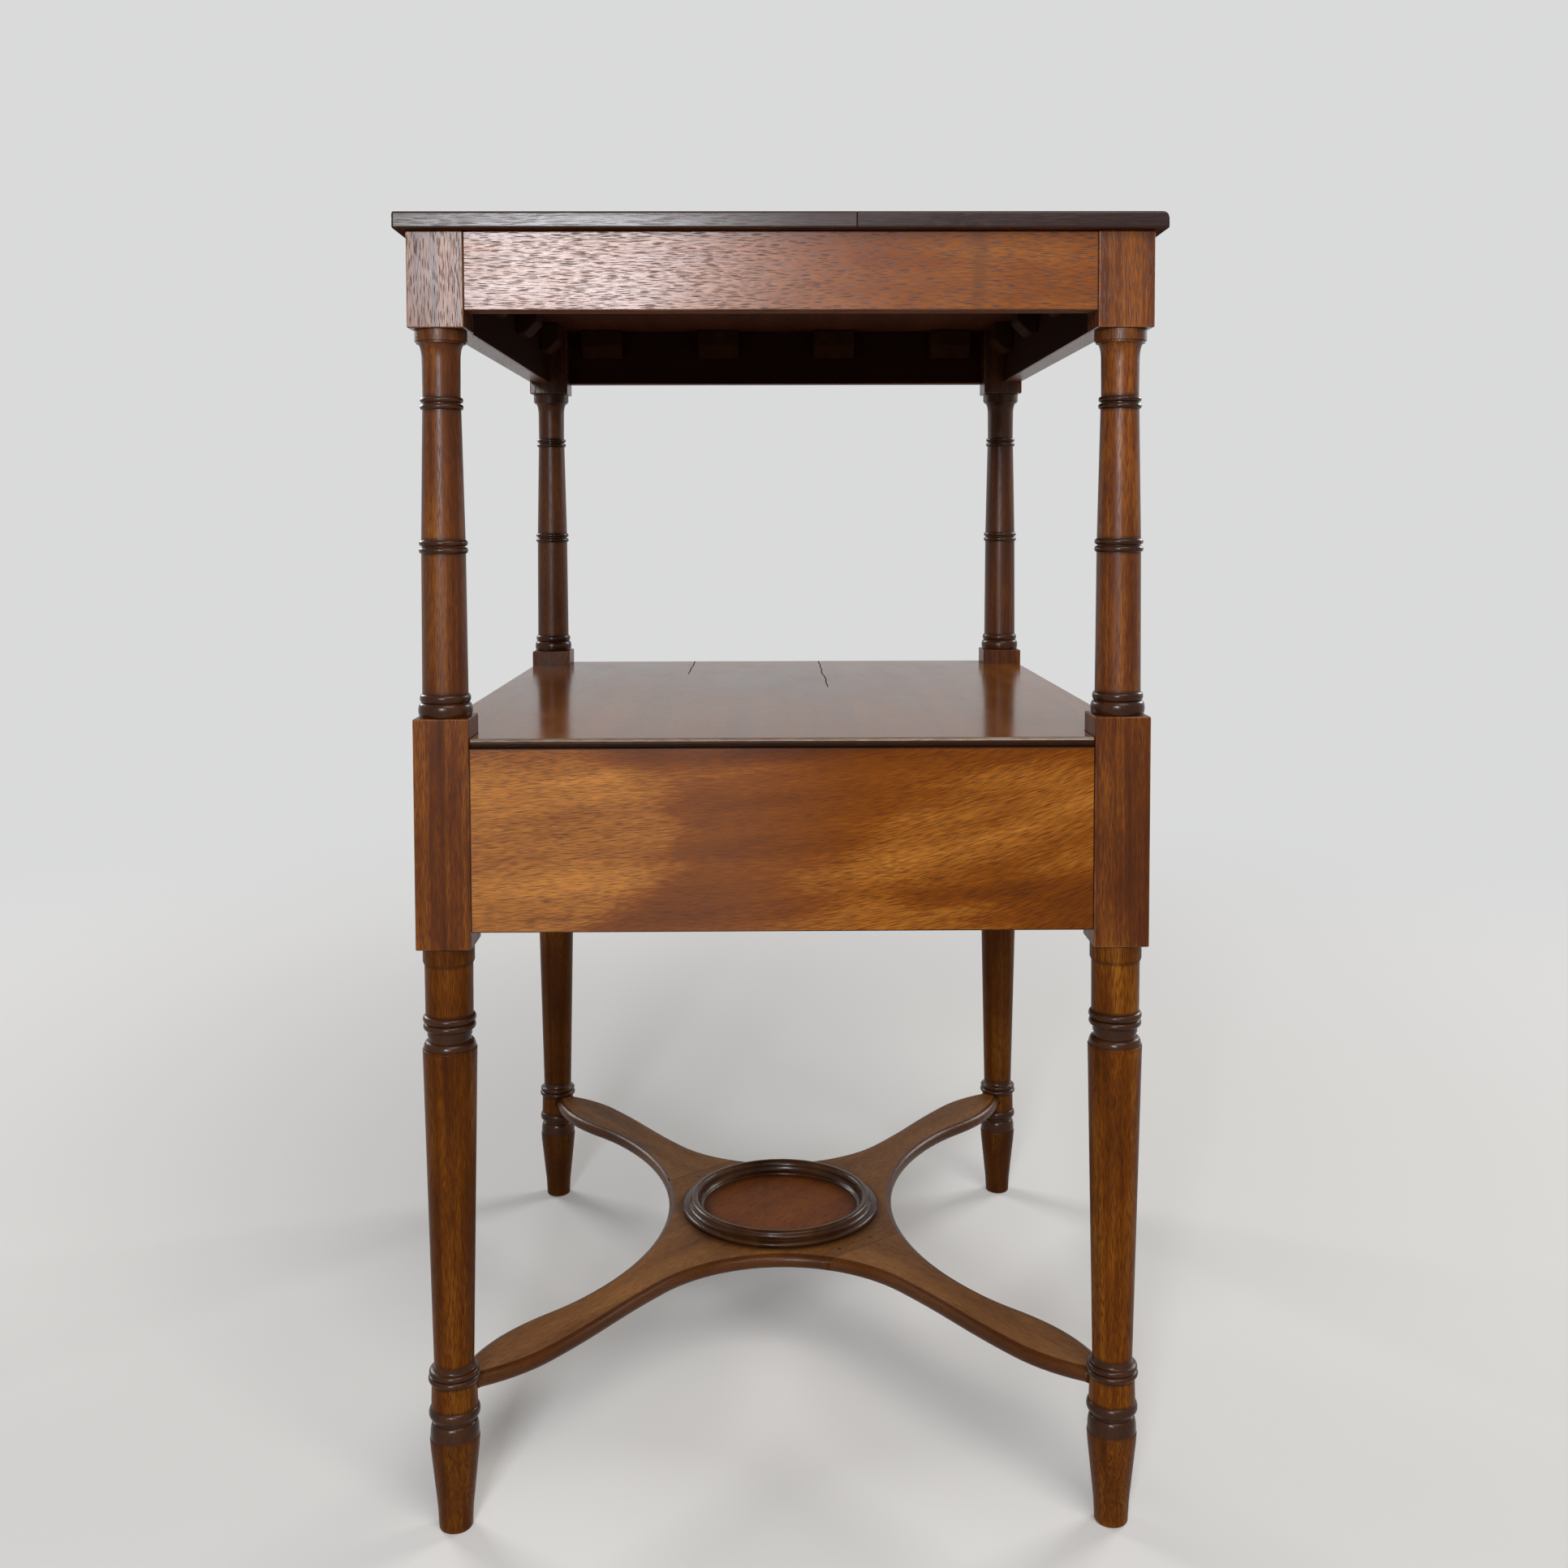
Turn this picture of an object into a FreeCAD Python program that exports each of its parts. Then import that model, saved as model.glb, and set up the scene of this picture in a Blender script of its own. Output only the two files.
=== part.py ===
"""Two-tier mahogany washstand with turned posts, a drawer case and a serpentine X stretcher.

Millimetres. +Z is up, the drawer faces -Y and the long side runs along X.
The origin is on the floor, under the centre of the top.
"""
import FreeCAD, Part
import math
import os

V = FreeCAD.Vector

# Stand: spacing of the post axes and the main heights
overall_h = 800.0
leg_span_x = 498.0
leg_span_y = 406.0
block_w = 33.0

# Top
top_t = 10.0
top_overhang = 7.0
top_front_board_w = 182.5
top_nose_share = 0.4
top_arris_share = 0.14

# Frieze under the top
frieze_h = 46.5
frieze_t = 16.0
frieze_recess = 0.3
top_block_drop = 10.0

# Shelf and drawer case
case_z = 374.5
case_h = 110.5
panel_t = 13.5
panel_recess = 0.5
shelf_t = 6.0
shelf_nose_share = 0.32
mid_block_rise = 12.0
mid_block_drop = 10.5

# Joints: tenons, tongues and the room left round them
tenon_len = 12.0
tenon_t = 7.0
tenon_shoulder = 6.0
tongue_len = 8.0
tongue_t = 6.0
joint_play = 0.15
overrun = 1.0

# Rails, runners and guides of the drawer
bottom_rail_h = 11.5
top_rail_h = 10.0
rail_tenon_h = 5.0
runner_bearing_w = 20.0
runner_tongue_len = 7.0
guide_h = 14.0
stop_l = 30.0
stop_w = 10.0
stop_h = 5.0
stop_place_share = 0.24

# Rubbed glue blocks
glue_block_l = 36.0
glue_block_h = 24.0
glue_block_d = 16.0
glue_chamfer_share = 0.6
glue_place_shares = (-0.418, -0.139, 0.139, 0.418)
shelf_block_l = 36.0
shelf_block_side = 14.0
shelf_block_place_shares = (-0.32, 0.0, 0.32)

# Drawer
drawer_gap = 1.0
drawer_ride = 0.3
drawer_front_t = 18.0
drawer_side_t = 8.0
drawer_back_t = 8.0
drawer_bottom_t = 5.0
drawer_bottom_rise = 6.0
drawer_side_drop = 2.0
drawer_back_drop = 9.0
drawer_rear_room = 10.0
groove_d = 4.0
dovetail_lap = 1.0
dovetail_w = 19.0
dovetail_flare_share = 0.16
dovetail_place_shares = (0.18, 0.5, 0.82)
bead_t = 3.0
bead_d = 8.0
bead_out = 1.5
bead_nose_share = 0.32

# Knobs of the drawer
knob_len = 17.0
knob_r = 12.5
knob_shank_r = 6.0
knob_spigot_len = 13.0
knob_place_share = 0.27
knob_play = 0.1

# X stretcher and its dish ring
stretcher_z = 83.0
stretcher_t = 10.0
waist_apex = 86.0
arm_waist_w = 32.0
arm_swell_w = 42.0
arm_swell_back = 65.0
arm_end_w = 19.0
arm_tenon_w = 12.0
arm_tenon_t = 5.0
arm_tenon_len = 8.0
lap_shoulder = 93.0
lap_w = 50.0
band_below = 6.5
band_play = 0.3
nail_w = 2.4
nail_len = 8.5
nail_inset = 8.0
nail_play = 0.05
nail_spread_share = 0.3
ring_outer_r = 74.5
ring_inner_r = 58.5
ring_h = 10.0

# Turning of the posts, from the bottom up: height share of the stretch that is turned, then radius share of
# half the block. Each ring is turned to a crest.
foot_shares = (
    (0.000, 0.620),
    (0.170, 0.660),
    (0.700, 0.940),
    (0.865, 0.775),
    (0.935, 0.955),
    (1.000, 0.853),
)
leg_shares = (
    (0.000, 0.853),
    (0.014, 0.965),
    (0.044, 0.750),
    (0.755, 1.012),
    (0.790, 0.845),
    (0.816, 0.985),
    (0.848, 0.875),
    (1.000, 0.920),
)
column_shares = (
    (0.000, 0.975),
    (0.051, 0.850),
    (0.417, 0.803),
    (0.436, 0.880),
    (0.455, 0.790),
    (0.796, 0.703),
    (0.812, 0.775),
    (0.828, 0.693),
    (0.930, 0.685),
    (1.000, 0.915),
)
# Head of a knob from its underside to its crown: share of its length, share of its radius
knob_shares = (
    (0.42, 1.00),
    (0.70, 1.00),
    (1.00, 0.45),
)
# Section of the dish ring from its outer foot to its inner foot: share of its width, share of its height
ring_shares = (
    (0.00, 0.00),
    (0.00, 0.35),
    (0.45, 1.00),
    (1.00, 1.00),
    (1.00, 0.00),
)

# Places worked out from the sizes above
half_x = leg_span_x / 2
half_y = leg_span_y / 2
half_block = block_w / 2
inner_x = half_x - half_block
inner_y = half_y - half_block
outer_x = half_x + half_block
outer_y = half_y + half_block
top_z = overall_h - top_t
frieze_z = top_z - frieze_h
top_block_z = frieze_z - top_block_drop
case_top = case_z + case_h
shelf_z = case_top + shelf_t
mid_block_z = case_z - mid_block_drop
mid_block_top = shelf_z + mid_block_rise
panel_face_x = outer_x - panel_recess
panel_face_y = outer_y - panel_recess
panel_back_x = panel_face_x - panel_t
panel_back_y = panel_face_y - panel_t
rail_z = case_z + bottom_rail_h
kicker_z = case_top - top_rail_h
runner_in_x = inner_x - runner_bearing_w
front_face_y = -panel_face_y
front_back_y = front_face_y + drawer_front_t
drawer_x = inner_x - drawer_gap
drawer_z = rail_z + drawer_gap
drawer_top = kicker_z - drawer_gap
side_in_x = drawer_x - drawer_side_t
side_z = rail_z + drawer_ride
side_top = kicker_z - drawer_side_drop
drawer_rear_y = panel_back_y - drawer_rear_room
back_face_y = drawer_rear_y - drawer_back_t
drawer_bottom_z = drawer_z + drawer_bottom_rise
drawer_floor = drawer_bottom_z + drawer_bottom_t
drawer_back_top = drawer_top - drawer_back_drop
stretcher_top = stretcher_z + stretcher_t
lap_z = stretcher_z + stretcher_t / 2
band_z = stretcher_z - band_below
band_top = stretcher_top + band_play
band_r = half_block * foot_shares[-1][1]
arm_reach = math.hypot(half_x, half_y)
arm_angle = math.degrees(math.atan2(half_y, half_x))
arm_seat = arm_reach - math.sqrt(band_r ** 2 - (arm_end_w / 2) ** 2)
arm_tip = arm_seat + arm_tenon_len


def box(x0, x1, y0, y1, z0, z1):
    """Box between two corners, whose coordinates come in any order."""
    corner = V(min(x0, x1), min(y0, y1), min(z0, z1))
    return Part.makeBox(abs(x1 - x0), abs(y1 - y0), abs(z1 - z0), corner)


def taper(start, end):
    """Straight edge drawn as a curve of two poles, which facets sparely when it is turned."""
    line = Part.BezierCurve()
    line.setPoles([start, end])
    return line.toShape()


def turned(edges):
    """Solid of revolution about the Z axis of a closed outline in the XZ plane."""
    return Part.Face(Part.Wire(edges)).revolve(V(0, 0, 0), V(0, 0, 1), 360)


def spindle(z0, length, shares):
    """Turned stretch of a post from z0 up, by a table of height and radius shares."""
    points = [V(half_block * width, 0, z0 + length * height) for height, width in shares]
    foot = V(0, 0, z0)
    head = V(0, 0, z0 + length)
    edges = [taper(start, end) for start, end in zip(points, points[1:])]
    return turned(edges + Part.makePolygon([points[-1], head, foot, points[0]]).Edges)


def joined(first, others):
    """One solid of a piece and what is worked from the same stuff."""
    return first.fuse(others).removeSplitter()


def tenon_x(side, length, y0, y1, z0, z1, play=0):
    """Tenon along X into the post on one side, or its mortise when it is given play."""
    return box(side * (inner_x - overrun), side * (inner_x + length + play),
               y0 - play, y1 + play, z0 - play, z1 + play)


def tenon_y(side, length, x0, x1, z0, z1, play=0):
    """Tenon along Y into the post on one side, or its mortise when it is given play."""
    return box(x0 - play, x1 + play, side * (inner_y - overrun), side * (inner_y + length + play),
               z0 - play, z1 + play)


def frieze_tenon_x(side, row, play=0):
    """Tenon of a long frieze rail in the front or back row."""
    middle = row * (outer_y - frieze_recess - frieze_t / 2)
    return tenon_x(side, tenon_len, middle - tenon_t / 2, middle + tenon_t / 2,
                   frieze_z + tenon_shoulder, top_z - tenon_shoulder, play)


def frieze_tenon_y(side, row, play=0):
    """Tenon of an end frieze rail on the left or right."""
    middle = side * (outer_x - frieze_recess - frieze_t / 2)
    return tenon_y(row, tenon_len, middle - tenon_t / 2, middle + tenon_t / 2,
                   frieze_z + tenon_shoulder, top_z - tenon_shoulder, play)


def panel_tongue_x(side, play=0):
    """Tongue of the back panel into the back post on one side."""
    middle = panel_face_y - panel_t / 2
    return tenon_x(side, tongue_len, middle - tongue_t / 2, middle + tongue_t / 2,
                   case_z + tenon_shoulder, case_top - tenon_shoulder, play)


def panel_tongue_y(side, row, play=0):
    """Tongue of an end panel into the post in one row."""
    middle = side * (panel_face_x - panel_t / 2)
    return tenon_y(row, tongue_len, middle - tongue_t / 2, middle + tongue_t / 2,
                   case_z + tenon_shoulder, case_top - tenon_shoulder, play)


def rail_tenon(side, z0, z1, play=0):
    """Flat tenon of a drawer rail into the front post on one side."""
    middle = (z0 + z1) / 2
    return tenon_x(side, tenon_len, front_face_y + tenon_shoulder, -inner_y - tenon_shoulder,
                   middle - rail_tenon_h / 2, middle + rail_tenon_h / 2, play)


def along_arm(shape, side, row):
    """Turn a shape laid along +X so that it points to one of the posts."""
    turn = math.degrees(math.atan2(row * half_y, side * half_x))
    shape.rotate(V(0, 0, 0), V(0, 0, 1), turn)
    return shape


def arm_seat_cut(side, row):
    """Flat seat and mortise in a post for the end of its stretcher arm."""
    seat = box(arm_seat - half_block, arm_seat, -arm_end_w / 2 - joint_play, arm_end_w / 2 + joint_play,
               stretcher_z - joint_play, stretcher_top + joint_play)
    mortise = arm_tenon(joint_play)
    return along_arm(seat.fuse(mortise), side, row)


def arm_tenon(play=0):
    """Tenon at the end of an arm laid along +X, or its mortise when it is given play."""
    middle = stretcher_z + stretcher_t / 2
    return box(arm_seat - overrun, arm_tip + play, -arm_tenon_w / 2 - play, arm_tenon_w / 2 + play,
               middle - arm_tenon_t / 2 - play, middle + arm_tenon_t / 2 + play)


def post(side, row):
    """One post: turned foot, leg and column with square blocks, mortised for what meets it."""
    foot = spindle(0, band_z, foot_shares)
    band = Part.makeCylinder(band_r, band_top - band_z, V(0, 0, band_z))
    leg = spindle(band_top, mid_block_z - band_top, leg_shares)
    column = spindle(mid_block_top, top_block_z - mid_block_top, column_shares)
    blocks = []
    for low, high in ((mid_block_z, mid_block_top), (top_block_z, top_z)):
        blocks.append(box(-half_block, half_block, -half_block, half_block, low, high))
    solid = joined(foot, [band, leg, column] + blocks)
    solid.translate(V(side * half_x, row * half_y, 0))
    cuts = [
        frieze_tenon_x(side, row, joint_play),
        frieze_tenon_y(side, row, joint_play),
        panel_tongue_y(side, row, joint_play),
        arm_seat_cut(side, row),
    ]
    if row > 0:
        cuts.append(panel_tongue_x(side, joint_play))
    else:
        cuts.append(rail_tenon(side, case_z, rail_z, joint_play))
        cuts.append(rail_tenon(side, kicker_z, case_top, joint_play))
    return solid.cut(cuts)


def edges_along(shape, x=None, y=None, z=None):
    """Edges of a shape that lie wholly at the given coordinates."""
    found = []
    for edge in shape.Edges:
        ends = [vertex.Point for vertex in edge.Vertexes]
        fits = [abs(point[axis] - value) < Part.Precision.confusion()
                for point in ends
                for axis, value in enumerate((x, y, z)) if value is not None]
        if all(fits):
            found.append(edge)
    return found


def top_board(front):
    """Front or back board of the top, with a rounded outer edge and softened ends."""
    reach_x = outer_x + top_overhang
    reach_y = outer_y + top_overhang
    seam_y = top_front_board_w - reach_y
    edge_y = -reach_y if front else reach_y
    board = box(-reach_x, reach_x, edge_y, seam_y, top_z, overall_h)
    nose = top_t * (top_nose_share if front else top_arris_share)
    arris = top_t * top_arris_share
    board = board.makeFillet(nose, edges_along(board, y=edge_y, z=overall_h))
    ends = []
    for end in (-reach_x, reach_x):
        ends += edges_along(board, x=end, z=top_z)
    ends += edges_along(board, y=edge_y, z=top_z)
    return board.makeFillet(arris, ends)


def frieze_long(row):
    """Long frieze rail between two posts."""
    face = row * (outer_y - frieze_recess)
    rail = box(-inner_x, inner_x, face, face - row * frieze_t, frieze_z, top_z)
    return joined(rail, [frieze_tenon_x(side, row) for side in (-1, 1)])


def frieze_end(side):
    """Short frieze rail at one end."""
    face = side * (outer_x - frieze_recess)
    rail = box(face, face - side * frieze_t, -inner_y, inner_y, frieze_z, top_z)
    return joined(rail, [frieze_tenon_y(side, row) for row in (-1, 1)])


def glue_block(length, depth, height, chamfer):
    """Block along X in the corner above y = 0 and under z = 0, with its inner arris planed off."""
    outline = [V(0, 0, 0), V(0, depth, 0), V(0, depth, chamfer - height), V(0, depth - chamfer, -height),
               V(0, 0, -height), V(0, 0, 0)]
    solid = Part.Face(Part.makePolygon(outline)).extrude(V(length, 0, 0))
    solid.translate(V(-length / 2, 0, 0))
    return solid


def top_glue_blocks():
    """Rubbed blocks between the frieze and the top, four to a rail."""
    blocks = []
    walls = ((2 * inner_x, outer_y), (2 * inner_y, outer_x))
    for turn, (length, reach) in enumerate(walls):
        for face in (0, 2):
            for share in glue_place_shares:
                block = glue_block(glue_block_l, glue_block_d, glue_block_h,
                                   glue_block_d * glue_chamfer_share)
                block.translate(V(length * share, frieze_recess + frieze_t - reach, top_z))
                block.rotate(V(0, 0, 0), V(0, 0, 1), 90 * (turn + face))
                blocks.append(block)
    return Part.makeCompound(blocks)


def shelf_glue_blocks():
    """Rubbed blocks between the back panel and the shelf."""
    blocks = []
    for share in shelf_block_place_shares:
        block = glue_block(shelf_block_l, shelf_block_side, shelf_block_side,
                           shelf_block_side * glue_chamfer_share)
        block.translate(V(2 * inner_x * share, -panel_back_y, case_top))
        block.rotate(V(0, 0, 0), V(0, 0, 1), 180)
        blocks.append(block)
    return Part.makeCompound(blocks)


def shelf_board():
    """Shelf notched round the four posts, with an eased nose on each side."""
    board = box(-outer_x, outer_x, -outer_y, outer_y, case_top, shelf_z)
    notches = []
    for side in (-1, 1):
        for row in (-1, 1):
            notches.append(box(side * (inner_x - joint_play), side * (outer_x + overrun),
                               row * (inner_y - joint_play), row * (outer_y + overrun),
                               case_top - overrun, shelf_z + overrun))
    board = board.cut(notches)
    noses = []
    for level in (case_top, shelf_z):
        for side in (-1, 1):
            noses += edges_along(board, x=side * outer_x, z=level)
            noses += edges_along(board, y=side * outer_y, z=level)
    return board.makeChamfer(shelf_t * shelf_nose_share, noses)


def case_panel_end(side):
    """End panel of the drawer case."""
    panel = box(side * panel_face_x, side * panel_back_x, -inner_y, inner_y, case_z, case_top)
    return joined(panel, [panel_tongue_y(side, row) for row in (-1, 1)])


def case_panel_back():
    """Back panel of the drawer case."""
    panel = box(-inner_x, inner_x, panel_back_y, panel_face_y, case_z, case_top)
    return joined(panel, [panel_tongue_x(side) for side in (-1, 1)])


def runner_tongue(side, play=0):
    """Stub tongue of a runner into the back of the bottom rail, or its mortise."""
    middle = (case_z + rail_z) / 2
    return box(side * (runner_in_x - play), side * (inner_x + play),
               -inner_y - runner_tongue_len - play, -inner_y + overrun,
               middle - rail_tenon_h / 2 - play, middle + rail_tenon_h / 2 + play)


def drawer_rail(z0, z1):
    """Rail across the front between the posts."""
    rail = box(-inner_x, inner_x, front_face_y, -inner_y, z0, z1)
    return joined(rail, [rail_tenon(side, z0, z1) for side in (-1, 1)])


def drawer_bottom_rail():
    """Rail under the drawer, mortised for the runners."""
    return drawer_rail(case_z, rail_z).cut([runner_tongue(side, joint_play) for side in (-1, 1)])


def drawer_runner(side):
    """Bearer that one side of the drawer slides on."""
    bar = box(side * runner_in_x, side * panel_back_x, -inner_y, inner_y, case_z, rail_z)
    return joined(bar, [runner_tongue(side)])


def drawer_kicker(side):
    """Strip over one side of the drawer that keeps it from tipping."""
    return box(side * runner_in_x, side * panel_back_x, -inner_y, inner_y, kicker_z, case_top)


def drawer_guide(side):
    """Strip on the runner, flush with the posts, that keeps the drawer straight."""
    return box(side * inner_x, side * panel_back_x, -inner_y, inner_y, rail_z, rail_z + guide_h)


def drawer_stops():
    """Pair of blocks on the bottom rail that the closed drawer front meets."""
    stops = []
    for side in (-1, 1):
        middle = side * 2 * inner_x * stop_place_share
        stops.append(box(middle - stop_l / 2, middle + stop_l / 2, front_back_y + drawer_ride,
                         front_back_y + drawer_ride + stop_w, rail_z, rail_z + stop_h))
    return Part.makeCompound(stops)


def arm_quarter():
    """Quarter of the stretcher's plan between the +X and +Y axes, as a face on the floor."""
    angle = math.radians(arm_angle)
    waist = arm_waist_w / 2
    swell = arm_swell_w / 2
    end = arm_end_w / 2
    swell_u = arm_reach - arm_swell_back
    neck_u = arm_reach - band_r

    def place(u, v):
        return V(u * math.cos(angle) - v * math.sin(angle), u * math.sin(angle) + v * math.cos(angle), 0)

    def side_edges(side, slope):
        """Edges from the notch's apex out to the end of the arm, on one side of it."""
        notch_r = (waist_apex * math.sin(slope) - waist) / (1 - math.sin(slope))
        centre = waist_apex + notch_r
        waist_u = centre * math.cos(slope)
        half = (math.pi / 2 - slope) / 2
        middle = (centre - notch_r * math.cos(half), notch_r * math.sin(half))
        apex = (waist_apex, 0)

        def notch_point(point):
            along = point[0] * math.cos(slope) + point[1] * math.sin(slope)
            return place(along, side * (point[0] * math.sin(slope) - point[1] * math.cos(slope)))

        rise = swell - waist
        run = swell_u - waist_u
        turn = math.atan(rise / run)
        radius = (run ** 2 + rise ** 2) / (4 * rise)
        step_u = radius * math.sin(turn)
        step_v = radius * (1 - math.cos(turn))
        centre_u = (waist_u + swell_u) / 2
        centre_v = (waist + swell) / 2
        fall = swell - end
        reach = neck_u - swell_u
        nose_turn = math.atan(fall / reach)
        nose_r = (reach ** 2 + fall ** 2) / (2 * fall)
        nose_drop = nose_r * (1 - math.cos(nose_turn))
        nose = place(swell_u + nose_r * math.sin(nose_turn), side * (swell - nose_drop))
        waist_point = place(waist_u, side * waist)
        turn_point = place(centre_u, side * centre_v)
        swell_point = place(swell_u, side * swell)
        neck_point = place(neck_u, side * end)
        return [
            Part.Arc(notch_point(apex), notch_point(middle), waist_point).toShape(),
            Part.Arc(waist_point, place(waist_u + step_u, side * (waist + step_v)), turn_point).toShape(),
            Part.Arc(turn_point, place(swell_u - step_u, side * (swell - step_v)), swell_point).toShape(),
            Part.Arc(swell_point, nose, neck_point).toShape(),
            Part.LineSegment(neck_point, place(arm_seat, side * end)).toShape(),
        ]

    edges = side_edges(-1, angle) + side_edges(1, math.pi / 2 - angle)
    edges.append(Part.LineSegment(place(arm_seat, -end), place(arm_seat, end)).toShape())
    edges.append(Part.LineSegment(V(0, waist_apex, 0), V(0, 0, 0)).toShape())
    edges.append(Part.LineSegment(V(0, 0, 0), V(waist_apex, 0, 0)).toShape())
    return Part.Face(Part.Wire(Part.__sortEdges__(edges)))


def stretcher_plan():
    """The whole X in one solid, before it is parted into two bars."""
    quarter = arm_quarter().extrude(V(0, 0, stretcher_t))
    quarter.translate(V(0, 0, stretcher_z))
    half = quarter.fuse(quarter.mirror(V(0, 0, 0), V(0, 1, 0)))
    return joined(half, [half.mirror(V(0, 0, 0), V(1, 0, 0))])


def under_arms():
    """Boxes round the two arms of the under bar, out from its square shoulders."""
    arms = []
    for side in (-1, 1):
        zone = box(lap_shoulder, arm_reach + overrun, -waist_apex, waist_apex,
                   stretcher_z - overrun, stretcher_top + overrun)
        arms.append(along_arm(zone, side, side))
    return arms


def lap_tongue(reach):
    """Half-thickness tongue of the under bar through the crossing, out to a given reach."""
    return along_arm(box(-reach, reach, -lap_w / 2, lap_w / 2, stretcher_z, lap_z), 1, 1)


def nail_places():
    """Places of the nails in the crossing, on the under bar's tongue."""
    places = []
    for end in (-1, 1):
        for edge in (-1, 1):
            spot = Part.Vertex(V(end * (lap_shoulder - nail_inset), edge * lap_w * nail_spread_share,
                                 stretcher_top))
            places.append(along_arm(spot, 1, 1).Point)
    return places


def nail(place, play=0):
    """Square cut nail driven flush with the top of the stretcher, or its hole."""
    half = nail_w / 2 + play
    return box(place.x - half, place.x + half, place.y - half, place.y + half,
               place.z - nail_len - play, place.z)


def stretcher_nails():
    """The nails of the crossing."""
    return Part.makeCompound([nail(place) for place in nail_places()])


def stretcher_upper_bar():
    """Bar that runs through on top of the crossing, housed underneath for the other."""
    bar = stretcher_plan().cut(under_arms())
    cuts = [lap_tongue(lap_shoulder + overrun)]
    cuts += [nail(place, nail_play) for place in nail_places()]
    bar = bar.cut(cuts)
    tenons = [along_arm(arm_tenon(), side, -side) for side in (-1, 1)]
    return joined(bar, tenons)


def stretcher_under_bar():
    """Bar halved under the crossing, with square shoulders where its arms reach full thickness."""
    plan = stretcher_plan()
    arms = [plan.common(zone) for zone in under_arms()]
    tenons = [along_arm(arm_tenon(), side, side) for side in (-1, 1)]
    bar = joined(lap_tongue(lap_shoulder + overrun), arms + tenons)
    return bar.cut([nail(place, nail_play) for place in nail_places()])


def dish_ring():
    """Turned ring moulding on the centre of the stretcher, open in the middle."""
    width = ring_outer_r - ring_inner_r
    outline = [V(ring_outer_r - width * across, 0, stretcher_top + ring_h * height)
               for across, height in ring_shares]
    return turned(Part.makePolygon(outline + outline[:1]).Edges)


def dovetail(x0, x1, y_root, y_end, z_mid):
    """Tail that spreads from its root to its end, through a drawer side's thickness."""
    flare = abs(y_end - y_root) * dovetail_flare_share
    half = dovetail_w / 2
    outline = [V(x0, y_root, z_mid - half + flare), V(x0, y_end, z_mid - half), V(x0, y_end, z_mid + half),
               V(x0, y_root, z_mid + half - flare), V(x0, y_root, z_mid - half + flare)]
    return Part.Face(Part.makePolygon(outline)).extrude(V(x1 - x0, 0, 0))


def drawer_side(side):
    """Side of the drawer, with lapped tails in front, through tails behind and a groove for the bottom."""
    x0 = side * side_in_x
    x1 = side * drawer_x
    board = box(x0, x1, front_back_y, back_face_y, side_z, side_top)
    tails = [box(x0, x1, back_face_y - overrun, drawer_rear_y, side_z, drawer_floor)]
    for share in dovetail_place_shares:
        front_z = side_z + (side_top - side_z) * share
        back_z = drawer_floor + (drawer_back_top - drawer_floor) * share
        tails.append(dovetail(x0, x1, front_back_y, front_face_y + bead_d + dovetail_lap, front_z))
        tails.append(dovetail(x0, x1, back_face_y, drawer_rear_y, back_z))
    return joined(board, tails).cut(bottom_panel(joint_play))


def bottom_panel(play=0):
    """Bottom of the drawer, held in grooves and run out under the back, or the room for it."""
    reach = side_in_x + groove_d
    return box(-reach - play, reach + play, front_back_y - groove_d - play, drawer_rear_y + play,
               drawer_bottom_z - play, drawer_floor + play)


def drawer_back():
    """Back of the drawer, standing on the bottom and pinned through the sides' tails."""
    board = box(-drawer_x, drawer_x, back_face_y, drawer_rear_y, drawer_floor + joint_play, drawer_back_top)
    return board.cut([drawer_side(side) for side in (-1, 1)])


def knob_place(side):
    """Centre of a knob's seat on the face of the drawer."""
    return V(side * 2 * drawer_x * knob_place_share, front_face_y, (drawer_z + drawer_top) / 2)


def drawer_front():
    """Front of the drawer: socketed for the sides, grooved, bored for the knobs, rebated for the beads."""
    board = box(-drawer_x, drawer_x, front_face_y, front_back_y, drawer_z, drawer_top)
    bead_y = front_face_y + bead_d
    rim = box(-drawer_x - overrun, drawer_x + overrun, front_face_y - overrun, bead_y,
              drawer_z - overrun, drawer_top + overrun)
    field = box(-drawer_x + bead_t, drawer_x - bead_t, front_face_y - overrun, bead_y,
                drawer_z + bead_t, drawer_top - bead_t)
    cuts = [rim.cut(field), bottom_panel(joint_play)]
    for side in (-1, 1):
        cuts.append(drawer_side(side))
        cuts.append(Part.makeCylinder(knob_shank_r + knob_play, knob_spigot_len + knob_play,
                                      knob_place(side), V(0, 1, 0)))
    return board.cut(cuts)


def cock_bead(corners):
    """Mitred strip let into the drawer front, with an eased nose standing proud of it."""
    nose_y = front_face_y - bead_out
    outline = [V(x, nose_y, z) for x, z in corners]
    strip = Part.Face(Part.makePolygon(outline + outline[:1])).extrude(V(0, bead_out + bead_d, 0))
    mitre = math.hypot(bead_t, bead_t)
    long_edges = [edge for edge in edges_along(strip, y=nose_y) if edge.Length > mitre + overrun]
    return strip.makeChamfer(bead_t * bead_nose_share, long_edges)


def cock_beads():
    """The four cock beads of the drawer front by name."""
    out = ((-drawer_x, drawer_z), (drawer_x, drawer_z), (drawer_x, drawer_top), (-drawer_x, drawer_top))
    inset = []
    for x, z in out:
        inset.append((x - math.copysign(bead_t, x), z + bead_t if z == drawer_z else z - bead_t))
    beads = {}
    for index, name in enumerate(("bottom", "right", "top", "left")):
        after = (index + 1) % len(out)
        beads["cock_bead_" + name] = cock_bead((out[index], out[after], inset[after], inset[index]))
    return beads


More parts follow.
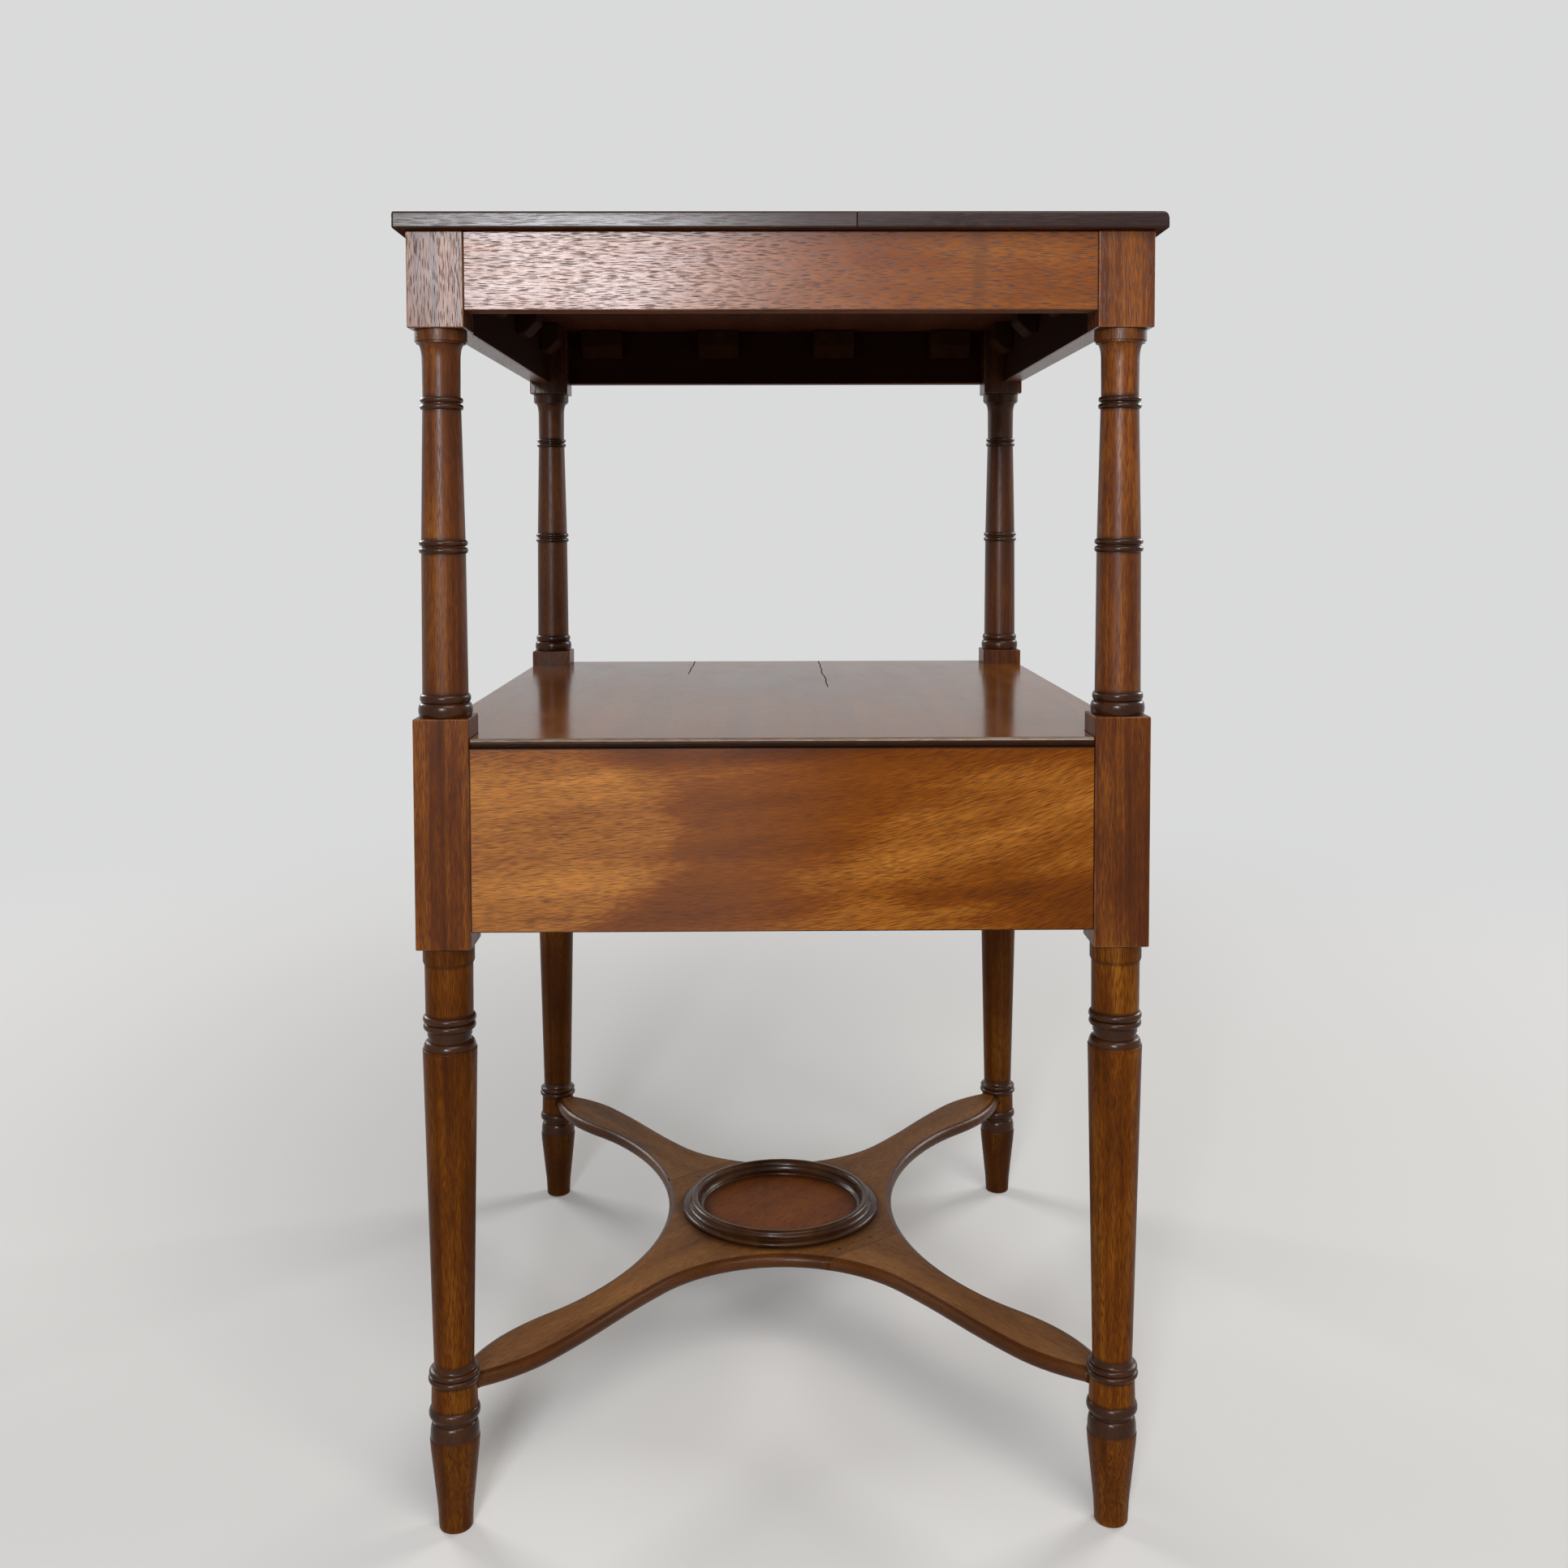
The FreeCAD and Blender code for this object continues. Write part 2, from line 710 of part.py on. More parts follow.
def drawer_knobs():
    """Pair of turned knobs whose shanks run on as spigots into the drawer front."""
    knobs = []
    for side in (-1, 1):
        outline = [V(knob_r * width, 0, knob_len * height) for height, width in knob_shares]
        outline = [V(0, 0, outline[0].z)] + outline + [V(0, 0, knob_len), V(0, 0, outline[0].z)]
        head = turned(Part.makePolygon(outline).Edges)
        shank = Part.makeCylinder(knob_shank_r, knob_spigot_len + outline[0].z, V(0, 0, -knob_spigot_len))
        knob = joined(head, [shank])
        knob.rotate(V(0, 0, 0), V(1, 0, 0), 90)
        knob.translate(knob_place(side))
        knobs.append(knob)
    return Part.makeCompound(knobs)


def build():
    """Every node of the stand by name."""
    nodes = {
        "top_board_front": top_board(True),
        "top_board_back": top_board(False),
        "frieze_front": frieze_long(-1),
        "frieze_back": frieze_long(1),
        "top_glue_blocks": top_glue_blocks(),
        "shelf_board": shelf_board(),
        "shelf_glue_blocks": shelf_glue_blocks(),
        "case_panel_back": case_panel_back(),
        "drawer_top_rail": drawer_rail(kicker_z, case_top),
        "drawer_bottom_rail": drawer_bottom_rail(),
        "drawer_stops": drawer_stops(),
        "stretcher_upper_bar": stretcher_upper_bar(),
        "stretcher_under_bar": stretcher_under_bar(),
        "stretcher_nails": stretcher_nails(),
        "dish_ring": dish_ring(),
        "drawer_front": drawer_front(),
        "drawer_back": drawer_back(),
        "drawer_bottom": bottom_panel(),
        "drawer_knobs": drawer_knobs(),
    }
    nodes.update(cock_beads())
    for side, hand in ((-1, "left"), (1, "right")):
        nodes["post_front_" + hand] = post(side, -1)
        nodes["post_back_" + hand] = post(side, 1)
        nodes["frieze_" + hand] = frieze_end(side)
        nodes["case_panel_" + hand] = case_panel_end(side)
        nodes["drawer_runner_" + hand] = drawer_runner(side)
        nodes["drawer_kicker_" + hand] = drawer_kicker(side)
        nodes["drawer_guide_" + hand] = drawer_guide(side)
        nodes["drawer_side_" + hand] = drawer_side(side)
    return nodes


def main():
    """Write one STEP file per node."""
    os.makedirs("parts", exist_ok=True)
    for name, shape in build().items():
        shape.exportStep("parts/" + name + ".step")
        print(name, len(shape.Solids), shape.isValid(), round(shape.Volume))


main()
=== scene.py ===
"""Finish of a two-tier mahogany washstand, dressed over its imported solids.

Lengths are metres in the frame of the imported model: +Z up, the long side along X, the drawer facing -Y.
"""
import logging
import math
from dataclasses import dataclass, replace
from enum import Enum
from typing import Callable, Dict, List, Optional, Sequence, Tuple, Union

import bmesh
import bpy
from mathutils import Matrix, Vector


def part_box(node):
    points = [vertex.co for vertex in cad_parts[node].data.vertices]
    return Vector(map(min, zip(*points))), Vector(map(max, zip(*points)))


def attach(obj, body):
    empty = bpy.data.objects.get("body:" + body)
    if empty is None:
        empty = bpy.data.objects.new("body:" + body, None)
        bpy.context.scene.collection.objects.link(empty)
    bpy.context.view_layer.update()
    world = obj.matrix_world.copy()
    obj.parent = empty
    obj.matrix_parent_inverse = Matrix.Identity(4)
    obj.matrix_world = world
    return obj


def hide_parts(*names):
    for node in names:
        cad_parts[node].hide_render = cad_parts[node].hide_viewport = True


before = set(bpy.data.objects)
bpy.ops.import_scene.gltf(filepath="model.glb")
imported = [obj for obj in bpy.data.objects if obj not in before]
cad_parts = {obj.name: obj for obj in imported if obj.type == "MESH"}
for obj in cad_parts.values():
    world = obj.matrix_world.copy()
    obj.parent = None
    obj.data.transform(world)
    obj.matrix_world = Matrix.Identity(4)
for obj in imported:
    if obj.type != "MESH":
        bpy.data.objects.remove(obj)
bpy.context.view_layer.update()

Span = Tuple[float, float]
Triple = Tuple[float, float, float]
Colour = Triple

TOP_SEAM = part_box("top_board_front")[1].y
MM = 0.001
MERGE_GAP = 1e-6
FLAT_ANGLE = math.radians(0.5)
SMOOTH_ANGLE = math.radians(48.0)
NOISE_MIDDLE = 0.5
SEED_STEP = (1.7, 0.9, 1.3)
RING_INNER = 58.5 * MM
RING_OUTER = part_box("dish_ring")[1].x
ORIGIN: Triple = (0.0, 0.0, 0.0)
DOWN: Triple = (0.0, 0.0, -1.0)
LOG = logging.getLogger("washstand")


def centre_of(node: str) -> Vector:
    """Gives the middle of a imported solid's box."""
    low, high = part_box(node)
    return (low + high) / 2


# Shader expressions

class Signal:
    """One output socket of a shader that takes part in Python arithmetic."""

    def __init__(self, paint: "Paint", socket: bpy.types.NodeSocket) -> None:
        """Keeps the graph and the socket."""
        self.paint = paint
        self.socket = socket

    def __add__(self, other: "Term") -> "Signal":
        """Adds a term."""
        return self.paint.math("ADD", self, other)

    def __radd__(self, other: "Term") -> "Signal":
        """Adds to a number."""
        return self.paint.math("ADD", other, self)

    def __sub__(self, other: "Term") -> "Signal":
        """Takes a term away."""
        return self.paint.math("SUBTRACT", self, other)

    def __rsub__(self, other: "Term") -> "Signal":
        """Is taken away from a number."""
        return self.paint.math("SUBTRACT", other, self)

    def __mul__(self, other: "Term") -> "Signal":
        """Multiplies by a term."""
        return self.paint.math("MULTIPLY", self, other)

    def __rmul__(self, other: "Term") -> "Signal":
        """Multiplies a number."""
        return self.paint.math("MULTIPLY", other, self)

    def __abs__(self) -> "Signal":
        """Gives the size without the sign."""
        return self.paint.math("ABSOLUTE", self)


Term = Union[Signal, float]
Tint = Union[Signal, Colour]
Options = Optional[Dict[Union[int, str], object]]


class Paint:
    """Node graph of one material or world, written as expressions."""

    def __init__(self, owner: Union[bpy.types.Material, bpy.types.World]) -> None:
        """Empties a node graph.

        Args:
            owner: The material or world that the graph belongs to.
        """
        owner.use_nodes = True
        self.tree = owner.node_tree
        self.tree.nodes.clear()

    def add(self, kind: str, settings: Options = None, sockets: Options = None) -> bpy.types.Node:
        """Adds any node.

        Args:
            kind: The node's type.
            settings: Attributes that are set first, or "stops" for a colour ramp.
            sockets: Values or signals by the input's number, identifier or name.

        Returns:
            The new node.
        """
        node = self.tree.nodes.new(kind)
        for key, value in (settings or {}).items():
            if key == "stops":
                self._set_stops(node.color_ramp, value)
            else:
                setattr(node, key, value)
        for key, value in (sockets or {}).items():
            target = self._socket(node.inputs, key)
            if isinstance(value, Signal):
                self.tree.links.new(value.socket, target)
            else:
                target.default_value = value
        return node

    def read(self, node: bpy.types.Node, name: str) -> Signal:
        """Wraps an output of a node, found by its identifier or name."""
        return Signal(self, self._socket(node.outputs, name))

    def math(self, operation: str, *terms: Term) -> Signal:
        """Adds a Math node with an operation and its inputs in order."""
        node = self.add("ShaderNodeMath", {"operation": operation}, dict(enumerate(terms)))
        return self.read(node, "Value")

    def span(self, value: Signal, low: float, high: float) -> Signal:
        """Maps a stretch of a value smoothly to 0 to 1.

        Args:
            value: The value.
            low: Where the result is 0.
            high: Where the result is 1.

        Returns:
            The mapped value.
        """
        node = self.add("ShaderNodeMapRange", {"interpolation_type": "SMOOTHSTEP"},
                        {"Value": value, "From Min": low, "From Max": high})
        return self.read(node, "Result")

    def place(self, shift: Triple = ORIGIN, turn: Triple = ORIGIN) -> Signal:
        """Gives the point on the piece, turned and then shifted.

        Args:
            shift: The shift in metres.
            turn: The turn about X, Y and Z.

        Returns:
            The point as a vector.
        """
        point = self.read(self.add("ShaderNodeTexCoord"), "Object")
        node = self.add("ShaderNodeMapping", {"vector_type": "POINT"},
                        {"Vector": point, "Location": shift, "Rotation": turn})
        return self.read(node, "Vector")

    def split(self, vector: Signal) -> Tuple[Signal, Signal, Signal]:
        """Takes a vector apart into its three values."""
        node = self.add("ShaderNodeSeparateXYZ", None, {"Vector": vector})
        return self.read(node, "X"), self.read(node, "Y"), self.read(node, "Z")

    def join(self, x: Term, y: Term, z: Term) -> Signal:
        """Makes a vector of three values."""
        return self.read(self.add("ShaderNodeCombineXYZ", None, {"X": x, "Y": y, "Z": z}), "Vector")

    def marks(self, point: Sequence[Signal], along: float, across: float) -> Signal:
        """Scales a point, so that a pattern has so many marks to a metre along X and across it."""
        return self.join(point[0] * along, point[1] * across, point[2] * across)

    def radius(self) -> Signal:
        """Gives how far the point lies from the upright axis through the origin."""
        x, y, _ = self.split(self.place())
        return self.math("SQRT", x * x + y * y)

    def noise(self, vector: Signal, detail: float = 1.0, layers: float = 0.5, scale: float = 1.0) -> Signal:
        """Reads smooth noise.

        Args:
            vector: The point.
            detail: How many finer layers are added.
            layers: How strong the finer layers are.
            scale: How many marks go to a unit of the point.

        Returns:
            Values about 0.
        """
        node = self.add("ShaderNodeTexNoise", None,
                        {"Vector": vector, "Scale": scale, "Detail": detail, "Roughness": layers})
        return self.read(node, "Fac") - NOISE_MIDDLE

    def cells(self, vector: Signal) -> Signal:
        """Reads how far a point lies from the nearest of many scattered seeds."""
        return self.read(self.add("ShaderNodeTexVoronoi", None, {"Vector": vector, "Scale": 1.0}), "Distance")

    def ramp(self, value: Signal, stops: Sequence[Tuple[float, Colour]]) -> Signal:
        """Turns a value into a colour through a ramp of stops."""
        return self.read(self.add("ShaderNodeValToRGB", {"stops": stops}, {"Fac": value}), "Color")

    def blend(self, share: Term, first: Tint, second: Tint, mode: str = "MIX") -> Signal:
        """Mixes two colours.

        Args:
            share: How much of the second is used.
            first: The colour at 0.
            second: The colour at 1.
            mode: The blend type.

        Returns:
            The mixed colour.
        """
        sockets = {"Factor_Float": share, "A_Color": self._colour(first), "B_Color": self._colour(second)}
        settings = {"data_type": "RGBA", "blend_type": mode, "clamp_factor": True}
        return self.read(self.add("ShaderNodeMix", settings, sockets), "Result_Color")

    def attribute(self, name: str) -> Signal:
        """Reads a value that the mesh carries."""
        return self.read(self.add("ShaderNodeAttribute", {"attribute_name": name}), "Fac")

    def bump(self, height: Signal, strength: float, distance: float) -> Signal:
        """Turns a height into a normal."""
        sockets = {"Height": height, "Strength": strength, "Distance": distance}
        return self.read(self.add("ShaderNodeBump", None, sockets), "Normal")

    def surface(self, sockets: Dict[str, object]) -> None:
        """Ends a material's graph in one shader with the given inputs."""
        shader = self.add("ShaderNodeBsdfPrincipled", None, sockets)
        self.add("ShaderNodeOutputMaterial", None, {"Surface": self.read(shader, "BSDF")})

    @staticmethod
    def _colour(value: Tint) -> Union[Signal, Tuple[float, ...]]:
        """Gives a plain colour its alpha."""
        return value if isinstance(value, Signal) else (*value, 1.0)

    @staticmethod
    def _socket(sockets: Sequence[bpy.types.NodeSocket], key: Union[int, str]) -> bpy.types.NodeSocket:
        """Finds a socket.

        Args:
            sockets: The node's inputs or outputs.
            key: The socket's number, or its identifier, or else its name.

        Returns:
            The socket.
        """
        if isinstance(key, int):
            return sockets[key]
        for attribute in ("identifier", "name"):
            for socket in sockets:
                if getattr(socket, attribute) == key:
                    return socket
        raise KeyError(key)

    @staticmethod
    def _set_stops(ramp: bpy.types.ColorRamp, stops: Sequence[Tuple[float, Colour]]) -> None:
        """Writes the stops of a colour ramp.

        Args:
            ramp: The ramp.
            stops: Place and colour of each stop.
        """
        while len(ramp.elements) < len(stops):
            ramp.elements.new(1.0)
        for element, (position, colour) in zip(ramp.elements, stops):
            element.position = position
            element.color = (*colour, 1.0)


# Finishes

class Grain(Enum):
    """Direction in which the fibres of a piece run."""

    LONG = "long"
    CROSS = "cross"
    UPRIGHT = "upright"
    RISING_ARM = "rising_arm"
    FALLING_ARM = "falling_arm"

    @property
    def turn(self) -> Triple:
        """Turn that lays the fibres along X.

        Returns:
            The turn about X, Y and Z.
        """
        corner = centre_of("post_back_right")
        arm = math.atan2(corner.y, corner.x)
        return {
            Grain.LONG: ORIGIN,
            Grain.CROSS: (0.0, 0.0, -math.pi / 2),
            Grain.UPRIGHT: (0.0, math.pi / 2, 0.0),
            Grain.RISING_ARM: (0.0, 0.0, -arm),
            Grain.FALLING_ARM: (0.0, 0.0, arm),
        }[self]


@dataclass(frozen=True)
class Wood:
    """One wood with its polish, wear and dirt, and shade painted on its edges and turned mouldings.

    Rates count marks to a metre, along and across the fibres. A pull is how far a noise moves the tone, and
    marks are the values between which a part of the pattern fades in.
    """

    name: str
    slot: str
    deep: Colour
    body: Colour
    bright: Colour
    pore: Colour = (0.020, 0.006, 0.002)
    line: Colour = (0.046, 0.011, 0.002)
    worn: Colour = (0.32, 0.15, 0.07)
    tone_places: Triple = (0.25, 0.5, 0.75)
    bend_rates: Span = (11.0, 16.0)
    sway: float = 5.0 * MM
    ribbon_rate: float = 2.5
    ribbon_width: float = 15.0 * MM
    ribbon_detail: float = 2.0
    ribbon_pull: float = 0.45
    cloud_rates: Span = (12.0, 30.0)
    cloud_detail: float = 4.0
    cloud_layers: float = 0.58
    cloud_pull: float = 0.5
    cloud_rough: float = 0.12
    fibre_layers: float = 0.4
    fibre_pull: float = 0.35
    fibre_height: float = 0.6
    line_length: float = 8.0 * MM
    line_gap: float = 0.36 * MM
    line_marks: Span = (-0.10, 0.0)
    line_dark: float = 0.34
    line_rough: float = 0.06
    pore_length: float = 10.0 * MM
    pore_gap: float = 0.75 * MM
    pore_marks: Span = (0.16, 0.40)
    pore_dark: float = 0.50
    pore_rough: float = 0.10
    pore_depth: float = 0.7
    roughness: float = 0.29
    gloss: float = 0.12
    relief: float = 0.22
    relief_depth: float = 0.2 * MM
    wear_marks: Span = (-0.10, 0.20)
    wear_fibre: float = 0.3
    arris_wear: float = 0.35
    # How far the rounded edges are darkened as painted shade.
    arris_shade: float = 0.0
    joint_dirt: float = 0.0
    ring_shade: float = 0.0

    def material(self, grain: Grain, seed: float) -> bpy.types.Material:
        """Builds the wood for one piece.

        Args:
            grain: Direction of the fibres.
            seed: Shifts the pattern, so that no two pieces are alike.

        Returns:
            The material.
        """
        material = bpy.data.materials.new(f"{self.name}_{grain.value}_{seed:g}")
        paint = Paint(material)
        point = paint.split(paint.place(tuple(seed * step for step in SEED_STEP), grain.turn))
        bend = paint.noise(paint.marks(point, *self.bend_rates)) * self.sway
        point = (point[0], point[1] + bend, self.lean(paint, point[2] + bend))
        ribbon = paint.noise(paint.marks(point, self.ribbon_rate, 1.0 / self.ribbon_width),
                             self.ribbon_detail)
        cloud = paint.noise(paint.marks(point, *self.cloud_rates), self.cloud_detail, self.cloud_layers)
        fibre = paint.noise(paint.marks(point, 1.0 / self.line_length, 1.0 / self.line_gap),
                            layers=self.fibre_layers)
        cell = paint.cells(paint.marks(point, 1.0 / self.pore_length, 1.0 / self.pore_gap))
        tone = ribbon * self.ribbon_pull + fibre * self.fibre_pull + cloud * self.cloud_pull
        tone, share = self.figure(paint, tone + self.tone_places[1])
        lines = (1.0 - paint.span(fibre, *self.line_marks)) * share
        pores = (1.0 - paint.span(cell, *self.pore_marks)) * share
        colour = paint.ramp(tone, tuple(zip(self.tone_places, (self.deep, self.body, self.bright))))
        colour = paint.blend(lines * self.line_dark + pores * self.pore_dark, colour, self.line)
        roughness = lines * self.line_rough + pores * self.pore_rough + cloud * self.cloud_rough
        height = fibre * self.fibre_height - pores * self.pore_depth
        paint.surface({
            "Base Color": self.age(paint, colour, cloud, fibre),
            "Roughness": self.roughen(paint, roughness + self.roughness),
            "Specular IOR Level": self.gloss,
            "Normal": paint.bump(height, self.relief, self.relief_depth),
        })
        return material

    def with_painted_light(self, share: float) -> "Wood":
        """Gives the same wood lighter or darker, as painted light and shade.

        Args:
            share: Share of the light that it keeps.

        Returns:
            The lighter or darker copy.
        """
        deep, body, bright = (tuple(part * share for part in colour)
                              for colour in (self.deep, self.body, self.bright))
        return replace(self, name=f"{self.name}_{share:g}", deep=deep, body=body, bright=bright)

    def lean(self, paint: Paint, up: Signal) -> Signal:
        """Leaves the fibres of plain wood straight."""
        return up

    def figure(self, paint: Paint, tone: Signal) -> Tuple[Signal, Term]:
        """Leaves the tone and the pores of plain wood as they are."""
        return tone, 1.0

    def roughen(self, paint: Paint, roughness: Signal) -> Signal:
        """Leaves the polish of plain wood as it is."""
        return roughness

    def age(self, paint: Paint, colour: Signal, cloud: Signal, fibre: Signal) -> Signal:
        """Darkens the turned mouldings with old polish and painted shade, darkens the joints, paints shade on
        the edges and rubs them.

        Args:
            paint: The graph.
            colour: Colour of the clean wood.
            cloud: Broad noise.
            fibre: Fine noise along the fibres.

        Returns:
            The aged colour.
        """
        # Painted shade and old polish: the turned mouldings darken by the darkness they carry.
        if self.ring_shade:
            colour = paint.blend(paint.attribute("moulding") * self.ring_shade, colour, self.pore)
        if self.arris_wear:
            rub = paint.span(cloud + fibre * self.wear_fibre, *self.wear_marks) * paint.attribute("arris")
            colour = paint.blend(rub * self.arris_wear, colour, self.worn)
        # The rounded edges get painted shade, for the dark gaps between parts and the shaded lower roundings;
        # the joints get dirt.
        for mark, darkening in (("arris", self.arris_shade), ("joint", self.joint_dirt)):
            if darkening:
                colour = paint.blend(paint.attribute(mark) * darkening, colour, self.pore)
        return colour


@dataclass(frozen=True)
class FlamedWood(Wood):
    """Figured mahogany of the seen end panel: a golden patch, a dull heart and a golden flame.

    Places on the panel go from -1 to 1 across and from -1 to 1 up. A tone is how far a part of the figure
    moves the wood's own tone.
    """

    half_width: float = 186.5 * MM
    half_height: float = 55.0 * MM
    middle: float = 430.0 * MM
    fibre_rise: float = 0.075
    climb_start: float = 0.05
    climb_rise: float = 0.19
    ragged_rates: Triple = (5.0, 7.0, 0.4)
    ragged_layers: float = 0.62
    ragged_reach: float = 0.34
    patch_edge: float = -0.335
    patch_bow: float = 0.30
    patch_height: float = 0.05
    patch_marks: Span = (-0.13, 0.11)
    patch_tone: float = 0.20
    flame_lean: float = 0.25
    flame_marks: Span = (0.0, 0.48)
    flame_tone: float = 0.125
    wedge_slope: float = 0.55
    wedge_marks: Span = (0.62, 0.96)
    wedge_share: float = 0.75
    drift_rates: Triple = (2.6, 5.5, 2.7)
    drift_lean: float = 0.45
    drift_detail: float = 3.0
    drift_tone: float = 0.144
    corner_across: Span = (0.55, 0.95)
    corner_down: Span = (0.1, 0.7)
    corner_tone: float = -0.20
    lick_place: Span = (0.58, -0.62)
    lick_slope: float = 0.22
    lick_ragged: float = 0.5
    lick_marks: Span = (0.02, 0.16)
    lick_middle: float = 0.6
    lick_ends: Span = (0.10, 0.32)
    lick_tone: float = -0.16
    roof_marks: Span = (0.70, 0.95)
    roof_tone: float = -0.12
    heart_tone: float = -0.06
    heart_pores: float = 0.35
    # Painted sheen: a pale haze on the polish beside the flame, standing in for a reflection of the window
    # lamp.
    painted_sheen: Colour = (0.50, 0.45, 0.42)
    painted_sheen_marks: Span = (-0.30, 0.35)
    painted_sheen_share: float = 0.042

    def chart(self, paint: Paint) -> Tuple[Signal, Signal]:
        """Gives the place on the panel, across and up."""
        _, y, z = paint.split(paint.place((0.0, 0.0, -self.middle)))
        return y * (-1.0 / self.half_width), z * (1.0 / self.half_height)

    def lean(self, paint: Paint, up: Signal) -> Signal:
        """Lets the fibres rise across the panel, most in the flame.

        Args:
            paint: The graph.
            up: Height across the fibres.

        Returns:
            The height along the rising fibres.
        """
        across, _ = self.chart(paint)
        climb = paint.math("MAXIMUM", across - self.climb_start, 0.0)
        rise = across * self.fibre_rise + climb * climb * self.climb_rise
        return up - rise * self.half_width

    def figure(self, paint: Paint, tone: Signal) -> Tuple[Signal, Term]:
        """Lays out the golden patch, the dull heart and the flame.

        Args:
            paint: The graph.
            tone: Tone of the plain wood.

        Returns:
            The tone with the figure, and how far the pores show.
        """
        across, height = self.chart(paint)
        wide, high, seed = self.ragged_rates
        ragged = paint.noise(paint.join(across * wide, height * high, seed), self.cloud_detail,
                             self.ragged_layers) * self.ragged_reach
        belly = height - self.patch_height
        bowed = self.patch_edge - belly * belly * self.patch_bow
        patch = paint.span(bowed - across + ragged, *self.patch_marks)
        flame = paint.span(across - height * self.flame_lean + ragged, *self.flame_marks)
        wedge = paint.span(across * self.wedge_slope - height + ragged, *self.wedge_marks) * self.wedge_share
        flame = paint.math("MAXIMUM", flame, wedge)
        wide, high, seed = self.drift_rates
        slanted = height - across * self.drift_lean
        drift = paint.noise(paint.join(across * wide, slanted * high, seed), self.drift_detail)
        corner = paint.span(across + ragged, *self.corner_across)
        corner = corner * paint.span(ragged - height, *self.corner_down)
        roof = paint.span(height + ragged, *self.roof_marks)
        parts = (
            (patch, self.patch_tone),
            (flame, self.flame_tone),
            (drift, self.drift_tone),
            (corner, self.corner_tone),
            (self.lick(paint, ragged), self.lick_tone),
            (roof, self.roof_tone),
        )
        tone = tone + self.heart_tone
        for part, pull in parts:
            tone = tone + part * pull
        golden = paint.math("MAXIMUM", patch, flame)
        return tone, self.heart_pores + golden * (1.0 - self.heart_pores)

    def lick(self, paint: Paint, ragged: Signal) -> Signal:
        """Draws the dark lick under the flame.

        Args:
            paint: The graph.
            ragged: Noise that makes its edge ragged.

        Returns:
            1 in the lick and 0 beside it.
        """
        across, height = self.chart(paint)
        place, level = self.lick_place
        away = height - level - (across - place) * self.lick_slope + ragged * self.lick_ragged
        ends = paint.span(abs(across - self.lick_middle), *self.lick_ends)
        return (1.0 - paint.span(abs(away), *self.lick_marks)) * (1.0 - ends)

    def age(self, paint: Paint, colour: Signal, cloud: Signal, fibre: Signal) -> Signal:
        """Adds a painted sheen, a pale haze on the polish beside the flame, to the wear of plain wood.

        Args:
            paint: The graph.
            colour: Colour of the clean wood.
            cloud: Broad noise.
            fibre: Fine noise along the fibres.

        Returns:
            The aged colour.
        """
        across, _ = self.chart(paint)
        # Painted sheen on the polish.
        sheen_mask = (1.0 - paint.span(across, *self.painted_sheen_marks)) * self.painted_sheen_share
        return paint.blend(sheen_mask, super().age(paint, colour, cloud, fibre), self.painted_sheen)


@dataclass(frozen=True)
class StainedWood(Wood):
    """Mahogany with one dark upright stain across the board."""

    stain_y: float = -115.0 * MM
    stain_marks: Span = (1.36 * MM, 6.12 * MM)
    stain_sway: float = 12.0 * MM
    stain_dark: float = 0.28

    def age(self, paint: Paint, colour: Signal, cloud: Signal, fibre: Signal) -> Signal:
        """Adds the stain to the wear of plain wood.

        Args:
            paint: The graph.
            colour: Colour of the clean wood.
            cloud: Broad noise.
            fibre: Fine noise along the fibres.

        Returns:
            The aged colour.
        """
        _, y, _ = paint.split(paint.place((0.0, -self.stain_y, 0.0)))
        mask = 1.0 - paint.span(abs(y + cloud * self.stain_sway), *self.stain_marks)
        return paint.blend(mask * self.stain_dark, super().age(paint, colour, cloud, fibre), self.pore)


@dataclass(frozen=True)
class CrackedWood(Wood):
    """Mahogany with cracks or a glued seam that run in from the far end.

    Each crack has its place across the board and the place along it where it dies out.
    """

    cracks: Tuple[Span, ...] = ((75.0 * MM, 129.0 * MM), (-38.0 * MM, 20.0 * MM))
    crack_half: float = 0.65 * MM
    crack_core: float = 0.3
    crack_taper: float = 30.0 * MM
    crack_rates: Span = (16.0, 3.0)
    crack_sway: float = 6.0 * MM
    crack_rough: float = 0.8

    def gap(self, paint: Paint) -> Signal:
        """Draws the cracks.

        Args:
            paint: The graph.

        Returns:
            1 in the cracks and 0 beside them.
        """
        x, y, _ = paint.split(paint.place())
        along, across = self.crack_rates
        waver = paint.noise(paint.join(x * along, y * across, 0.0)) * self.crack_sway
        found: Term = 0.0
        for line, stop in self.cracks:
            away = abs(y + waver - line)
            near = 1.0 - paint.span(away, self.crack_half * self.crack_core, self.crack_half)
            found = near * paint.span(x, stop, stop + self.crack_taper) + found
        return found

    def roughen(self, paint: Paint, roughness: Signal) -> Signal:
        """Takes the polish out of the cracks."""
        return roughness + self.gap(paint) * self.crack_rough

    def age(self, paint: Paint, colour: Signal, cloud: Signal, fibre: Signal) -> Signal:
        """Adds the cracks to the wear of plain wood."""
        return paint.blend(self.gap(paint), super().age(paint, colour, cloud, fibre), self.pore)


